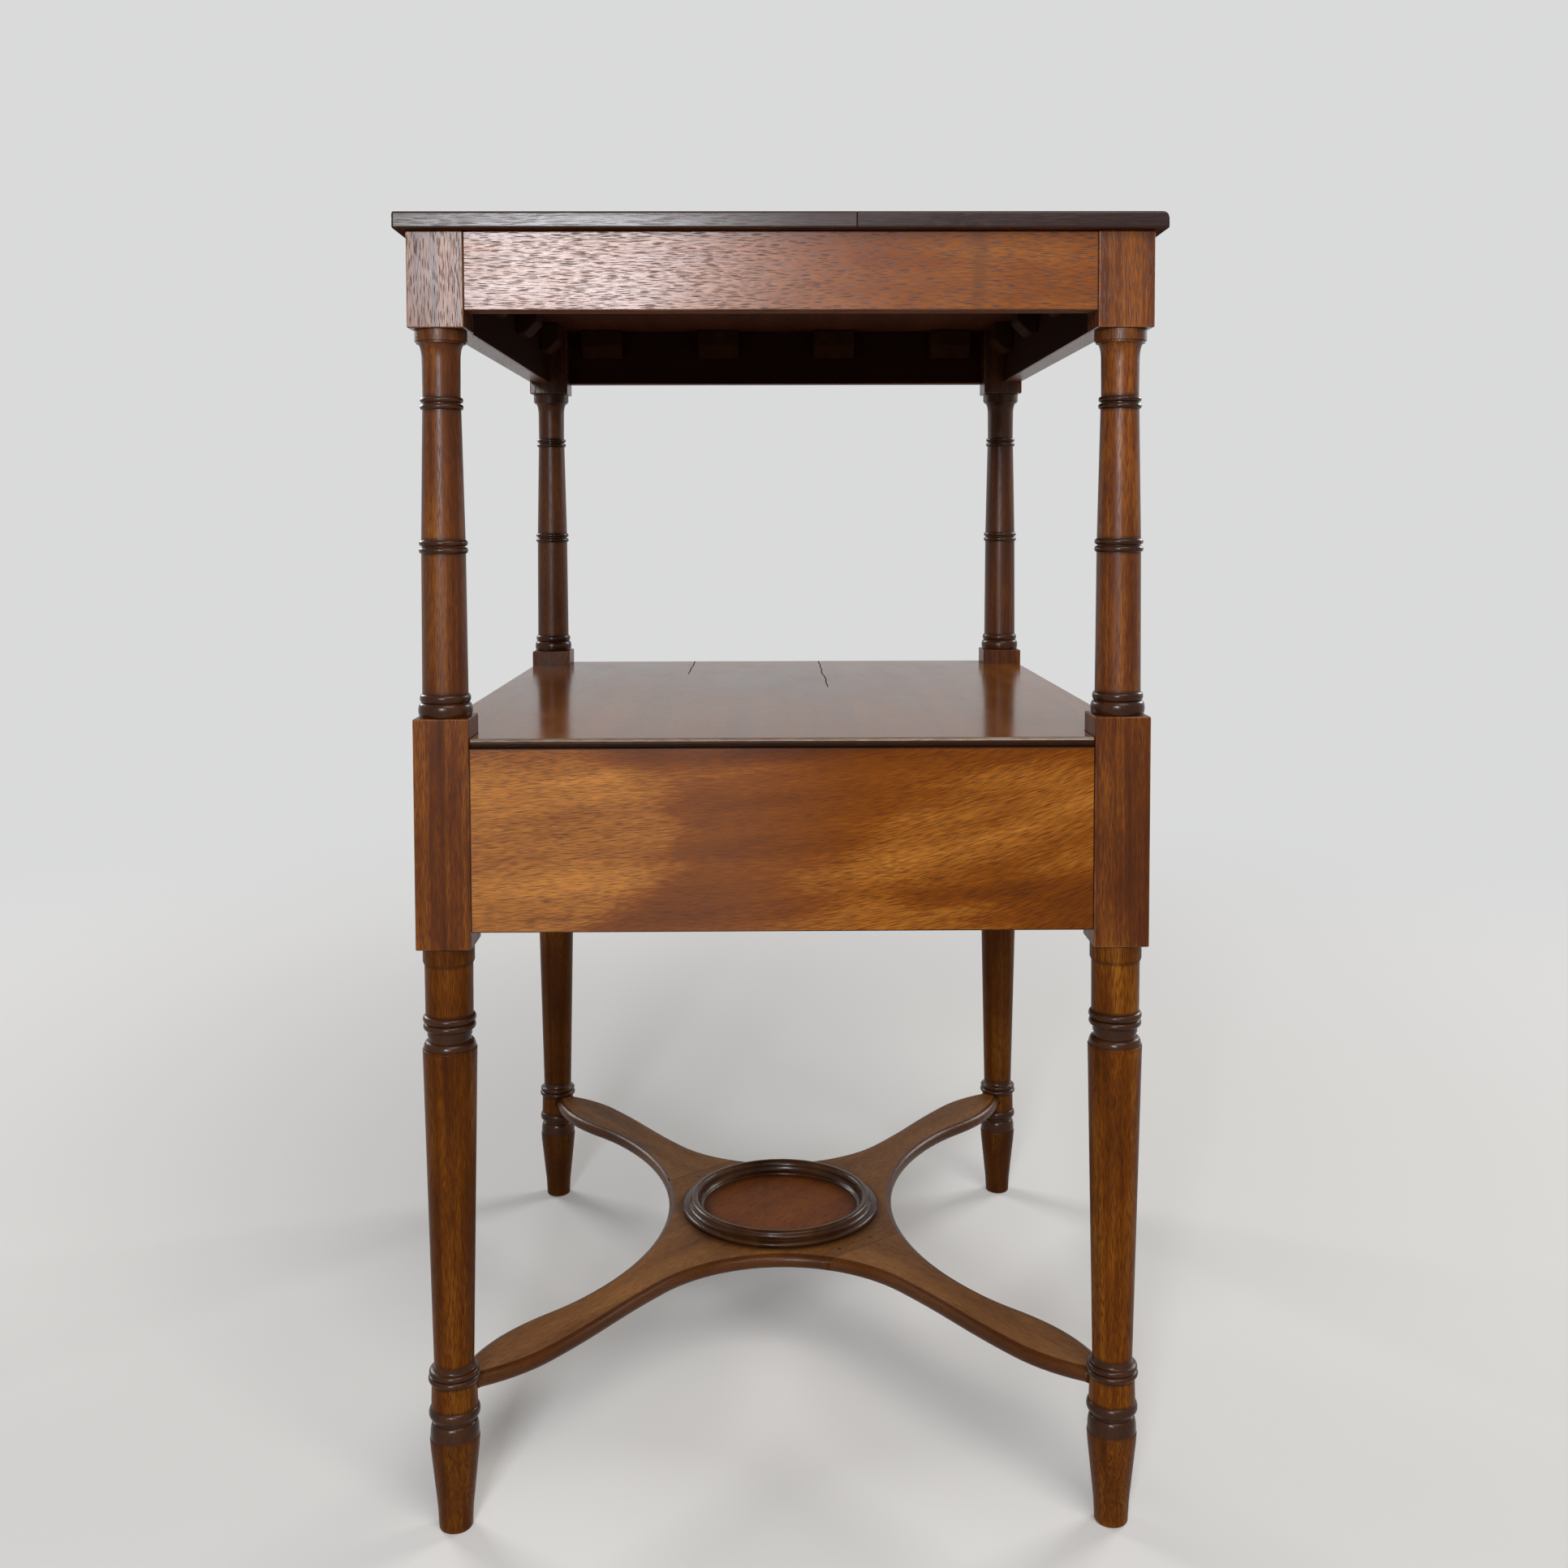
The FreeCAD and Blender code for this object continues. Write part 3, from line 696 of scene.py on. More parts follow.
@dataclass(frozen=True)
class DishWood(Wood):
    """Mahogany of the stretcher, redder inside the jug's dish and darker beside its ring."""

    dish: Colour = (0.84, 0.54, 0.25)
    ring_reach: float = 7.0 * MM
    ring_dark: float = 0.6

    def age(self, paint: Paint, colour: Signal, cloud: Signal, fibre: Signal) -> Signal:
        """Adds the dish to the wear of plain wood.

        Args:
            paint: The graph.
            colour: Colour of the clean wood.
            cloud: Broad noise.
            fibre: Fine noise along the fibres.

        Returns:
            The aged colour.
        """
        radius = paint.radius() + cloud * self.ring_reach
        inside = 1.0 - paint.span(radius, RING_INNER - self.ring_reach, RING_OUTER)
        colour = paint.blend(inside, super().age(paint, colour, cloud, fibre), self.dish, "MULTIPLY")
        past = paint.math("MAXIMUM", radius - RING_OUTER, RING_INNER - radius)
        darkening = 1.0 - paint.span(past, 0.0, self.ring_reach)
        return paint.blend(darkening * self.ring_dark, colour, self.pore)


SEAM = ((TOP_SEAM, -1.0),)
POST_WOOD = Wood("post_mahogany", "mahogany_post", (0.034, 0.007, 0.0004), (0.104, 0.024, 0.0012),
                 (0.225, 0.069, 0.0060), cloud_pull=0.7, ribbon_pull=0.75, ribbon_width=4.5 * MM,
                 line_dark=0.5, pore_dark=0.72, gloss=0.22, roughness=0.33, ring_shade=0.94)
LEG_WOOD = replace(POST_WOOD, name="leg_mahogany", deep=(0.038, 0.009, 0.0004), body=(0.116, 0.031, 0.0012),
                   bright=(0.225, 0.080, 0.0070), ribbon_pull=0.55, gloss=0.07)
HEAD_WOOD = replace(POST_WOOD, name="head_mahogany", gloss=0.26, roughness=0.26, pore_rough=0.2)
BLOCK_WOOD = replace(POST_WOOD, name="block_mahogany", gloss=0.15)
BEAD_POLISH = Wood("bead_polish", "mahogany_post", (0.011, 0.004, 0.001), (0.032, 0.010, 0.003),
                   (0.068, 0.023, 0.006), line_dark=0.3, pore_dark=0.2, roughness=0.20, gloss=0.18)
TOP_WOOD = CrackedWood("top_mahogany", "mahogany_top", (0.050, 0.016, 0.005), (0.120, 0.042, 0.012),
                       (0.20, 0.080, 0.026), worn=(0.30, 0.20, 0.14), roughness=0.30, gloss=0.16,
                       cracks=SEAM, crack_half=0.4 * MM, crack_sway=0.0)
END_GRAIN = CrackedWood("end_grain", "mahogany_top", (0.008, 0.004, 0.003), (0.019, 0.010, 0.010),
                        (0.044, 0.026, 0.026), line_length=16.0 * MM, line_gap=0.3 * MM, line_rough=0.08,
                        pore_length=20.0 * MM, pore_gap=0.8 * MM, pore_rough=0.06, cloud_pull=0.6,
                        roughness=0.23, gloss=0.235, relief=0.16, arris_wear=0.0, arris_shade=0.95,
                        cracks=SEAM, crack_half=0.8 * MM, crack_sway=0.0)
# The shelf's nose: dark end grain, painted near-black as the shade under the nose.
NOSE_SHADE_WOOD = Wood("nose_mahogany", "mahogany_shelf", (0.006, 0.002, 0.001), (0.018, 0.007, 0.003),
                 (0.040, 0.018, 0.008), roughness=0.35, gloss=0.06, arris_wear=0.0)
# Pale colour on the rounding above the shelf's nose is a painted highlight, with real gloss.
NOSE_HIGHLIGHT = Wood("nose_edge", "mahogany_shelf", (0.12, 0.085, 0.06), (0.24, 0.18, 0.13), (0.36, 0.29, 0.22),
                 line_dark=0.3, pore_dark=0.2, roughness=0.16, gloss=0.8, arris_wear=0.0)
FRIEZE_WOOD = StainedWood("frieze_mahogany", "mahogany_frieze", (0.096, 0.018, 0.001), (0.178, 0.043, 0.002),
                          (0.275, 0.088, 0.010), line=(0.032, 0.008, 0.002), line_dark=0.56, line_rough=0.11,
                          pore_dark=0.78, pore_rough=0.18, roughness=0.22, gloss=0.28, arris_shade=0.85)
RAIL_EDGE = Wood("rail_edge", "mahogany_frieze", (0.070, 0.018, 0.004), (0.150, 0.040, 0.009),
                 (0.230, 0.070, 0.016), roughness=0.6, gloss=0.03)
LONG_RAIL_EDGE = replace(RAIL_EDGE, name="long_rail_edge", roughness=0.3, gloss=0.3)
RAIL_WOOD = replace(FRIEZE_WOOD, name="rail_mahogany", stain_dark=0.0, gloss=0.16)
SHELF_WOOD = CrackedWood("shelf_mahogany", "mahogany_shelf", (0.085, 0.024, 0.003), (0.158, 0.047, 0.006),
                         (0.235, 0.078, 0.012), worn=(0.36, 0.24, 0.16), line_dark=0.22, line_rough=0.02,
                         pore_dark=0.04, pore_rough=0.0, cloud_pull=0.45, roughness=0.15, gloss=0.05,
                         relief=0.02, crack_sway=4.0 * MM)
PANEL_WOOD = FlamedWood("panel_mahogany", "mahogany_panel", (0.070, 0.015, 0.001), (0.172, 0.044, 0.002),
                        (0.420, 0.160, 0.024), cloud_pull=0.24, ribbon_pull=0.28, fibre_pull=0.3,
                        roughness=0.30, gloss=0.075, arris_shade=0.85)
CASE_WOOD = Wood("case_mahogany", "mahogany_panel", (0.080, 0.017, 0.001), (0.188, 0.050, 0.003),
                 (0.35, 0.122, 0.013), cloud_pull=0.9, gloss=0.10, arris_shade=0.85)
DRAWER_WOOD = Wood("drawer_mahogany", "mahogany_drawer_front", (0.072, 0.016, 0.001), (0.188, 0.050, 0.003),
                   (0.37, 0.128, 0.014), cloud_pull=1.2)
KNOB_WOOD = replace(DRAWER_WOOD, name="knob_mahogany", ring_shade=0.6)
BEAD_WOOD = Wood("bead_mahogany", "mahogany_bead", (0.030, 0.007, 0.001), (0.085, 0.023, 0.003),
                 (0.14, 0.043, 0.007))
STRETCHER_WOOD = DishWood("stretcher_mahogany", "mahogany_stretcher", (0.090, 0.034, 0.008),
                          (0.155, 0.063, 0.017), (0.235, 0.103, 0.030), cloud_pull=0.7, ribbon_pull=0.5,
                          fibre_pull=0.3, line_dark=0.36, pore_dark=0.15, roughness=0.42, gloss=0.06,
                          joint_dirt=0.95)
# Darker copy of the stretcher's wood for the rims and upright sides, painted as the shade there; its gloss is
# real.
RIM_SHADE_WOOD = Wood("rim_mahogany", "mahogany_stretcher", (0.026, 0.008, 0.001), (0.064, 0.019, 0.003),
                (0.115, 0.039, 0.007), line_dark=0.3, roughness=0.27, gloss=0.16, arris_wear=0.0)
RING_WOOD = Wood("ring_mahogany", "mahogany_stretcher", (0.014, 0.005, 0.001), (0.046, 0.017, 0.005),
                 (0.090, 0.036, 0.012), line_dark=0.3, pore_dark=0.2, cloud_pull=0.9, roughness=0.18,
                 gloss=0.16, ring_shade=0.65)
# The bare inner faces of the frieze and case and the shelf's underside are painted near-black, as the shade
# inside the stand; the top's underside takes a lighter copy.
INSIDE_SHADE_WOOD = Wood("raw_mahogany", "mahogany_frieze", (0.011, 0.004, 0.002), (0.022, 0.007, 0.003),
                (0.038, 0.013, 0.005), pore=(0.008, 0.004, 0.003), roughness=0.8, gloss=0.03)
UNDER_WOOD = replace(INSIDE_SHADE_WOOD, name="under_mahogany", deep=(0.034, 0.009, 0.003), body=(0.070, 0.019, 0.007),
                     bright=(0.110, 0.034, 0.013))
# Pine of the hidden glue blocks, stops and slides, painted near-black as the shade inside the stand.
SHADED_PINE = Wood("block_pine", "pine_blocks", (0.017, 0.006, 0.002), (0.034, 0.013, 0.005),
                  (0.06, 0.025, 0.009), pore=(0.02, 0.009, 0.005), pore_dark=0.2, roughness=0.75, gloss=0.03,
                  arris_wear=0.0)
LINING_OAK = Wood("lining_oak", "oak_lining", (0.17, 0.085, 0.033), (0.29, 0.158, 0.066),
                  (0.42, 0.25, 0.115), pore=(0.09, 0.045, 0.02), pore_length=14.0 * MM, pore_gap=1.2 * MM,
                  roughness=0.6)


@dataclass(frozen=True)
class NailIron:
    """Dull wrought iron of the stretcher's nails."""

    name: str = "nail_iron"
    colour: Colour = (0.020, 0.014, 0.012)
    rust: Colour = (0.060, 0.024, 0.012)
    rust_marks: Span = (-0.10, 0.15)
    grit_rate: float = 900.0
    grit_detail: float = 3.0
    grit_rough: float = 0.3
    roughness: float = 0.60
    metallic: float = 0.6
    relief: float = 0.3
    relief_depth: float = 0.1 * MM

    def material(self) -> bpy.types.Material:
        """Builds the iron.

        Returns:
            The material.
        """
        material = bpy.data.materials.new(self.name)
        paint = Paint(material)
        grit = paint.noise(paint.place(), self.grit_detail, scale=self.grit_rate)
        paint.surface({
            "Base Color": paint.blend(paint.span(grit, *self.rust_marks), self.colour, self.rust),
            "Roughness": self.roughness + grit * self.grit_rough,
            "Metallic": self.metallic,
            "Normal": paint.bump(grit, self.relief, self.relief_depth),
        })
        return material


# Meshes

def copy_of(node: str) -> bmesh.types.BMesh:
    """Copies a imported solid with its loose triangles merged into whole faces.

    Args:
        node: The solid's node.

    Returns:
        The copy.
    """
    bm = bmesh.new()
    bm.from_mesh(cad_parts[node].data)
    bmesh.ops.remove_doubles(bm, verts=bm.verts, dist=MERGE_GAP)
    bmesh.ops.dissolve_limit(bm, angle_limit=FLAT_ANGLE, verts=bm.verts, edges=bm.edges)
    return bm


def sharp_edges(bm: bmesh.types.BMesh, least: float = 28.0) -> List[bmesh.types.BMEdge]:
    """Lists the edges where two faces meet at more than an angle in degrees."""
    limit = math.radians(least)
    return [edge for edge in bm.edges if len(edge.link_faces) == 2 and edge.calc_face_angle(0.0) > limit]


def edges_at(bm: bmesh.types.BMesh, places: Dict[int, float]) -> List[bmesh.types.BMEdge]:
    """Lists the edges that lie at given places along the axes, which are numbered from 0."""
    return [edge for edge in bm.edges if all(abs(vert.co[axis] - place) < MERGE_GAP
                                             for vert in edge.verts for axis, place in places.items())]


def ease(bm: bmesh.types.BMesh, edges: Sequence[bmesh.types.BMEdge], width: float, segments: int = 3,
         mark: str = "arris") -> None:
    """Rounds edges and marks what was rounded.

    Args:
        bm: The mesh.
        edges: The edges to round.
        width: How far the rounding reaches.
        segments: How many flats make the rounding.
        mark: Name of the mark on the new faces.
    """
    layer = bm.faces.layers.float.get(mark) or bm.faces.layers.float.new(mark)
    result = bmesh.ops.bevel(bm, geom=[edge for edge in edges if edge.is_valid], offset=width,
                             offset_type="OFFSET", affect="EDGES", segments=segments, profile=0.5,
                             material=-1, clamp_overlap=True)
    for face in result["faces"]:
        face[layer] = 1.0


def add_block(bm: bmesh.types.BMesh, low: Vector, high: Vector) -> List[bmesh.types.BMEdge]:
    """Adds a squared block.

    Args:
        bm: The mesh.
        low: Lowest corner.
        high: Highest corner.

    Returns:
        Its edges.
    """
    matrix = Matrix.Translation((low + high) / 2) @ Matrix.Diagonal((*(high - low), 1.0))
    corners = bmesh.ops.create_cube(bm, size=1.0, matrix=matrix)["verts"]
    return list({edge for vert in corners for edge in vert.link_edges})


def spin(bm: bmesh.types.BMesh, outline: Sequence[Triple], seat: Matrix, steps: int,
         closed: bool = False) -> None:
    """Turns an outline once round the Z axis.

    Args:
        bm: The mesh.
        outline: Radius, height and darkness of its points.
        seat: Places the axis in the object.
        steps: How many flats go round.
        closed: Whether the last point joins the first.
    """
    layer = bm.verts.layers.float.get("moulding") or bm.verts.layers.float.new("moulding")
    before = set(bm.verts)
    chain = []
    for radius, height, dark in outline:
        vert = bm.verts.new((radius, 0.0, height))
        vert[layer] = dark
        chain.append(vert)
    ahead = chain[1:] + chain[:1] if closed else chain[1:]
    edges = [bm.edges.new(pair) for pair in zip(chain, ahead)]
    bmesh.ops.spin(bm, geom=chain + edges, cent=ORIGIN, axis=(0.0, 0.0, 1.0), dvec=ORIGIN, angle=2 * math.pi,
                   steps=steps, use_merge=True)
    made = [vert for vert in bm.verts if vert not in before]
    bmesh.ops.remove_doubles(bm, verts=made, dist=MERGE_GAP)
    made = [vert for vert in bm.verts if vert not in before]
    bmesh.ops.transform(bm, matrix=seat, verts=made)
    bmesh.ops.recalc_face_normals(bm, faces=list({face for vert in made for face in vert.link_faces}))


class Cut(Enum):
    """Shape that a turner's tool leaves."""

    TAPER = "taper"
    BEAD = "bead"
    COVE = "cove"
    OVOLO = "ovolo"
    FILLET = "fillet"


@dataclass(frozen=True)
class Turning:
    """One cut of a turner's schedule, in millimetres.

    The cut starts at the radius where the last one ended, rises and ends at its own radius. A bead also has a
    crest, where it is a little lighter. A dark cut is painted darker, partly as old polish and partly as
    painted shade in the hollows, and so is a taper's end at a corner.
    A taper has a point near each end, at the settling distance or at most a share of its rise away.
    """

    cut: Cut
    rise: float
    radius: float
    crest: float = 0.0
    dark: float = 0.0
    corner: float = 0.0
    flats: int = 7
    settle: float = 2.2
    settle_share: float = 0.25
    crest_light: float = 0.2

    def points(self, start: float) -> List[Triple]:
        """Works out the cut's outline.

        Args:
            start: Radius where it starts.

        Returns:
            Radius, rise and darkness of its points after the first.
        """
        if self.cut is Cut.TAPER:
            inset = min(self.settle, self.rise * self.settle_share)
            lean = (self.radius - start) * inset / self.rise
            return [(start + lean, inset, self.dark), (self.radius - lean, self.rise - inset, self.dark),
                    (self.radius, self.rise, max(self.dark, self.corner))]
        if self.cut is Cut.FILLET:
            return [(self.radius, 0.0, self.dark), (self.radius, self.rise, self.dark)]
        curve = self.on_bead if self.cut is Cut.BEAD else self.on_quarter
        return [curve(start, index / self.flats) for index in range(1, self.flats + 1)]

    def on_bead(self, start: float, share: float) -> Triple:
        """Gives a point of a bead.

        Args:
            start: Radius where the bead starts.
            share: How far along it the point lies.

        Returns:
            Radius, rise and darkness.
        """
        root = start + (self.radius - start) * share
        bulge = math.sin(math.pi * share)
        rise = self.rise * (1.0 - math.cos(math.pi * share)) / 2
        return root + (self.crest - root) * bulge, rise, self.dark * (1.0 - self.crest_light * bulge)

    def on_quarter(self, start: float, share: float) -> Triple:
        """Gives a point of a cove or an ovolo, which are quarters of an ellipse.

        Args:
            start: Radius where the cut starts.
            share: How far along it the point lies.

        Returns:
            Radius, rise and darkness.
        """
        angle = share * math.pi / 2
        inward, upward = math.sin(angle), 1.0 - math.cos(angle)
        if (self.cut is Cut.OVOLO) != (self.radius > start):
            inward, upward = 1.0 - math.cos(angle), math.sin(angle)
        return start + (self.radius - start) * inward, self.rise * upward, self.dark


def turn(bm: bmesh.types.BMesh, schedule: Sequence[Turning], start: float, seat: Matrix,
         steps: int = 56) -> None:
    """Turns a closed solid on the lathe.

    Args:
        bm: The mesh.
        schedule: The cuts from the bottom up.
        start: Radius at the bottom, in millimetres.
        seat: Places the lathe's axis, which is Z, in the object.
        steps: How many flats go round.
    """
    outline = [ORIGIN, (start * MM, 0.0, schedule[0].dark)]
    radius, base = start, 0.0
    for cut in schedule:
        outline += [(reach * MM, (base + rise) * MM, dark) for reach, rise, dark in cut.points(radius)]
        radius, base = cut.radius, base + cut.rise
    outline.append((0.0, base * MM, 0.0))
    spin(bm, outline, seat, steps)


# What the pieces share

FaceTest = Callable[[bmesh.types.BMFace], bool]
FaceFinish = Tuple[FaceTest, bpy.types.Material]


def faces_to(direction: Triple, least: float = 0.7) -> FaceTest:
    """Makes a test for faces whose normals have at least a cosine to a direction."""
    return lambda face: face.normal.dot(Vector(direction)) > least


def is_end(face: bmesh.types.BMFace, least: float = 0.35) -> bool:
    """Tells whether a face shows the end grain of a board that runs along X."""
    return abs(face.normal.x) > least


def is_upper_arris(face: bmesh.types.BMFace, least: float = 0.2, tilt: Span = (0.5, 0.98)) -> bool:
    """Tells whether a face belongs to the rounding above the end of a board that runs along X."""
    return is_end(face, least) and tilt[0] < face.normal.z < tilt[1]


@dataclass
class SubAssembly:
    """A group of pieces that ride on one body."""

    body: str = "stand"

    def install(self, bm: bmesh.types.BMesh, node: str, work: str, wood: Wood, grain: Grain, seed: float,
                others: Sequence[FaceFinish] = ()) -> None:
        """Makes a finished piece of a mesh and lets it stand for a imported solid.

        Args:
            bm: The mesh, which is used up.
            node: The solid's node.
            work: How it was made, which ends the piece's name.
            wood: Its finish.
            grain: Direction of its fibres.
            seed: Shift of its pattern.
            others: Tests that pick faces with another material, each with that material.
        """
        bmesh.ops.dissolve_degenerate(bm, dist=MERGE_GAP, edges=bm.edges)
        for index, (picks, _) in enumerate(others, 1):
            for face in bm.faces:
                if picks(face):
                    face.material_index = index
        name = f"{node}_{work}"
        mesh = bpy.data.meshes.new(name)
        bm.to_mesh(mesh)
        bm.free()
        mesh.polygons.foreach_set("use_smooth", [True] * len(mesh.polygons))
        mesh.set_sharp_from_angle(angle=SMOOTH_ANGLE)
        for used in (wood.material(grain, seed), *(other for _, other in others)):
            mesh.materials.append(used)
        piece = bpy.data.objects.new(name, mesh)
        bpy.context.scene.collection.objects.link(piece)
        normals = piece.modifiers.new("even_normals", "WEIGHTED_NORMAL")
        normals.keep_sharp = True
        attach(piece, self.body)
        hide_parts(node)
        LOG.info("%s: %d faces", name, len(mesh.polygons))

    def dress(self, node: str, material: bpy.types.Material) -> None:
        """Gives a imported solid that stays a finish.

        Args:
            node: The solid's node.
            material: The finish.
        """
        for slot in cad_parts[node].material_slots:
            slot.material = material
        LOG.info("%s: finished as packed", node)

    def eased(self, node: str, wood: Wood, grain: Grain, seed: float, arris: float,
              others: Sequence[FaceFinish] = ()) -> None:
        """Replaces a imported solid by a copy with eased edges.

        Args:
            node: The solid's node.
            wood: Its finish.
            grain: Direction of its fibres.
            seed: Shift of its pattern.
            arris: Radius of its edges.
            others: Tests that pick faces with another material, each with that material.
        """
        bm = copy_of(node)
        ease(bm, sharp_edges(bm), arris)
        self.install(bm, node, "finished", wood, grain, seed, others)


# The stand

@dataclass
class Posts(SubAssembly):
    """Four posts, each turned from one length between its square blocks.

    Each post has a tone for its turned stretches and one for its middle block. Besides the wood's own
    variation,
    these tones are painted light and shade: the right-hand posts are painted darker, as shade.
    """

    arris: float = 0.8 * MM
    sink: float = 0.4 * MM
    block_drop: float = 10.5 * MM
    block_rise: float = 18.0 * MM
    head_drop: float = 10.0 * MM
    bead_least: float = 0.6
    seed: float = 3.1
    bead_seed: float = 7.1
    light_tones: Tuple[Tuple[str, float, float], ...] = (
        ("post_front_left", 1.12, 0.86),
        ("post_front_right", 0.62, 0.72),
        ("post_back_left", 0.86, 0.90),
        ("post_back_right", 0.62, 0.72),
    )
    foot_start: float = 9.3
    leg: Tuple[Turning, ...] = (
        Turning(Cut.OVOLO, 1.4, 10.3),
        Turning(Cut.TAPER, 11.6, 10.9, dark=0.25),
        Turning(Cut.TAPER, 38.0, 14.9, dark=0.25),
        Turning(Cut.TAPER, 6.0, 15.3, dark=0.3),
        Turning(Cut.TAPER, 1.0, 15.0, dark=0.5),
        Turning(Cut.TAPER, 2.6, 14.9, dark=0.6),
        Turning(Cut.OVOLO, 7.4, 12.7, dark=0.8),
        Turning(Cut.TAPER, 2.0, 12.6, dark=1.0),
        Turning(Cut.BEAD, 7.0, 14.2, crest=15.7, dark=0.8),
        Turning(Cut.TAPER, 16.0, 13.8, corner=0.9),
        Turning(Cut.BEAD, 4.1, 14.0, crest=15.8, dark=1.0),
        Turning(Cut.BEAD, 3.9, 13.4, crest=15.3, dark=1.0),
        Turning(Cut.COVE, 3.6, 12.2, dark=0.7),
        Turning(Cut.TAPER, 194.4, 16.4),
        Turning(Cut.BEAD, 1.5, 15.9, crest=16.5, dark=0.3),
        Turning(Cut.OVOLO, 4.9, 13.5, dark=0.9),
        Turning(Cut.FILLET, 3.4, 12.9, dark=1.0),
        Turning(Cut.FILLET, 3.3, 13.5, dark=1.0),
        Turning(Cut.BEAD, 4.6, 14.0, crest=15.9, dark=1.0),
        Turning(Cut.BEAD, 4.6, 14.4, crest=16.1, dark=1.0),
        Turning(Cut.TAPER, 31.8, 14.6, corner=0.7),
        Turning(Cut.FILLET, 1.2, 15.1, dark=0.5),
        Turning(Cut.FILLET, 9.4, 15.6, dark=0.3),
    )
    column_start: float = 14.8
    column: Tuple[Turning, ...] = (
        Turning(Cut.BEAD, 9.0, 14.0, crest=16.2, dark=1.0, flats=10),
        Turning(Cut.BEAD, 5.2, 13.7, crest=15.2, dark=1.0),
        Turning(Cut.TAPER, 84.2, 13.2, dark=0.16, corner=0.9),
        Turning(Cut.BEAD, 3.7, 13.2, crest=14.6, dark=1.0),
        Turning(Cut.FILLET, 0.7, 12.9, dark=1.0),
        Turning(Cut.BEAD, 3.7, 13.1, crest=14.5, dark=1.0),
        Turning(Cut.TAPER, 77.4, 11.5, corner=0.9),
        Turning(Cut.BEAD, 3.4, 11.5, crest=12.9, dark=1.0),
        Turning(Cut.FILLET, 0.7, 11.2, dark=1.0),
        Turning(Cut.BEAD, 3.4, 11.2, crest=12.8, dark=1.0),
        Turning(Cut.TAPER, 22.0, 11.4),
        Turning(Cut.COVE, 9.6, 14.0, flats=9),
        Turning(Cut.FILLET, 1.3, 14.6, dark=0.5),
        Turning(Cut.FILLET, 6.4, 15.5, dark=0.3),
    )

    def build(self) -> None:
        """Turns the posts and sets them in their places."""
        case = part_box("case_panel_left")
        block = (case[0].z - self.block_drop, case[1].z + self.block_rise)
        head_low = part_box("frieze_left")[0].z - self.head_drop
        for index, (node, turned_light, block_light) in enumerate(self.light_tones):
            low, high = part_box(node)
            head = (head_low, high.z)
            bm = bmesh.new()
            for bottom, top in (block, head):
                edges = add_block(bm, Vector((low.x, low.y, bottom)), Vector((high.x, high.y, top)))
                ease(bm, edges, self.arris)
            middle = centre_of(node)
            for schedule, start, bottom in ((self.leg, self.foot_start, low.z),
                                            (self.column, self.column_start, block[1] - self.sink)):
                turn(bm, schedule, start, Matrix.Translation((middle.x, middle.y, bottom)))
            seed = self.seed + index
            stretches = (
                ((low.z, block[0]), LEG_WOOD.with_painted_light(turned_light)),
                (block, BLOCK_WOOD.with_painted_light(block_light)),
                (head, HEAD_WOOD.with_painted_light(turned_light)),
            )
            others = [(self.between(*heights), wood.material(Grain.UPRIGHT, seed))
                      for heights, wood in stretches]
            others.append((self.on_bead(bm), BEAD_POLISH.material(Grain.UPRIGHT, self.bead_seed + index)))
            self.install(bm, node, "turned", POST_WOOD.with_painted_light(turned_light), Grain.UPRIGHT, seed, others)

    @staticmethod
    def between(low: float, high: float) -> FaceTest:
        """Makes a test for faces between two heights."""
        return lambda face: all(low - MERGE_GAP < vert.co.z < high + MERGE_GAP for vert in face.verts)

    def on_bead(self, bm: bmesh.types.BMesh) -> FaceTest:
        """Makes a test for faces of a turned post's dark beads."""
        layer = bm.verts.layers.float["moulding"]
        return lambda face: min(vert[layer] for vert in face.verts) > self.bead_least


@dataclass
class Top(SubAssembly):
    """Two boards glued edge to edge, with dark end grain and a rounded front edge."""

    nose_round: float = 4.0 * MM
    nose_flats: int = 8
    arris: float = 1.4 * MM
    seam_arris: float = 0.4 * MM
    hidden_seed: float = 0.9
    seeds: Tuple[Tuple[str, float, float], ...] = (
        ("top_board_front", 0.7, 1.05),
        ("top_board_back", 1.9, 2.25),
    )

    def build(self) -> None:
        """Makes the two boards."""
        hidden_side = UNDER_WOOD.material(Grain.LONG, self.hidden_seed)
        for node, seed, end_seed in self.seeds:
            low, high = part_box(node)
            bm = bmesh.new()
            add_block(bm, low, high)
            if high.y == TOP_SEAM:
                ease(bm, edges_at(bm, {1: low.y, 2: high.z}), self.nose_round, self.nose_flats)
            seam = set(edges_at(bm, {1: TOP_SEAM}))
            ease(bm, [edge for edge in sharp_edges(bm) if edge not in seam], self.arris)
            ease(bm, edges_at(bm, {1: TOP_SEAM}), self.seam_arris)
            others = ((faces_to(DOWN), hidden_side), (is_end, END_GRAIN.material(Grain.CROSS, end_seed)))
            self.install(bm, node, "finished", TOP_WOOD, Grain.LONG, seed, others)


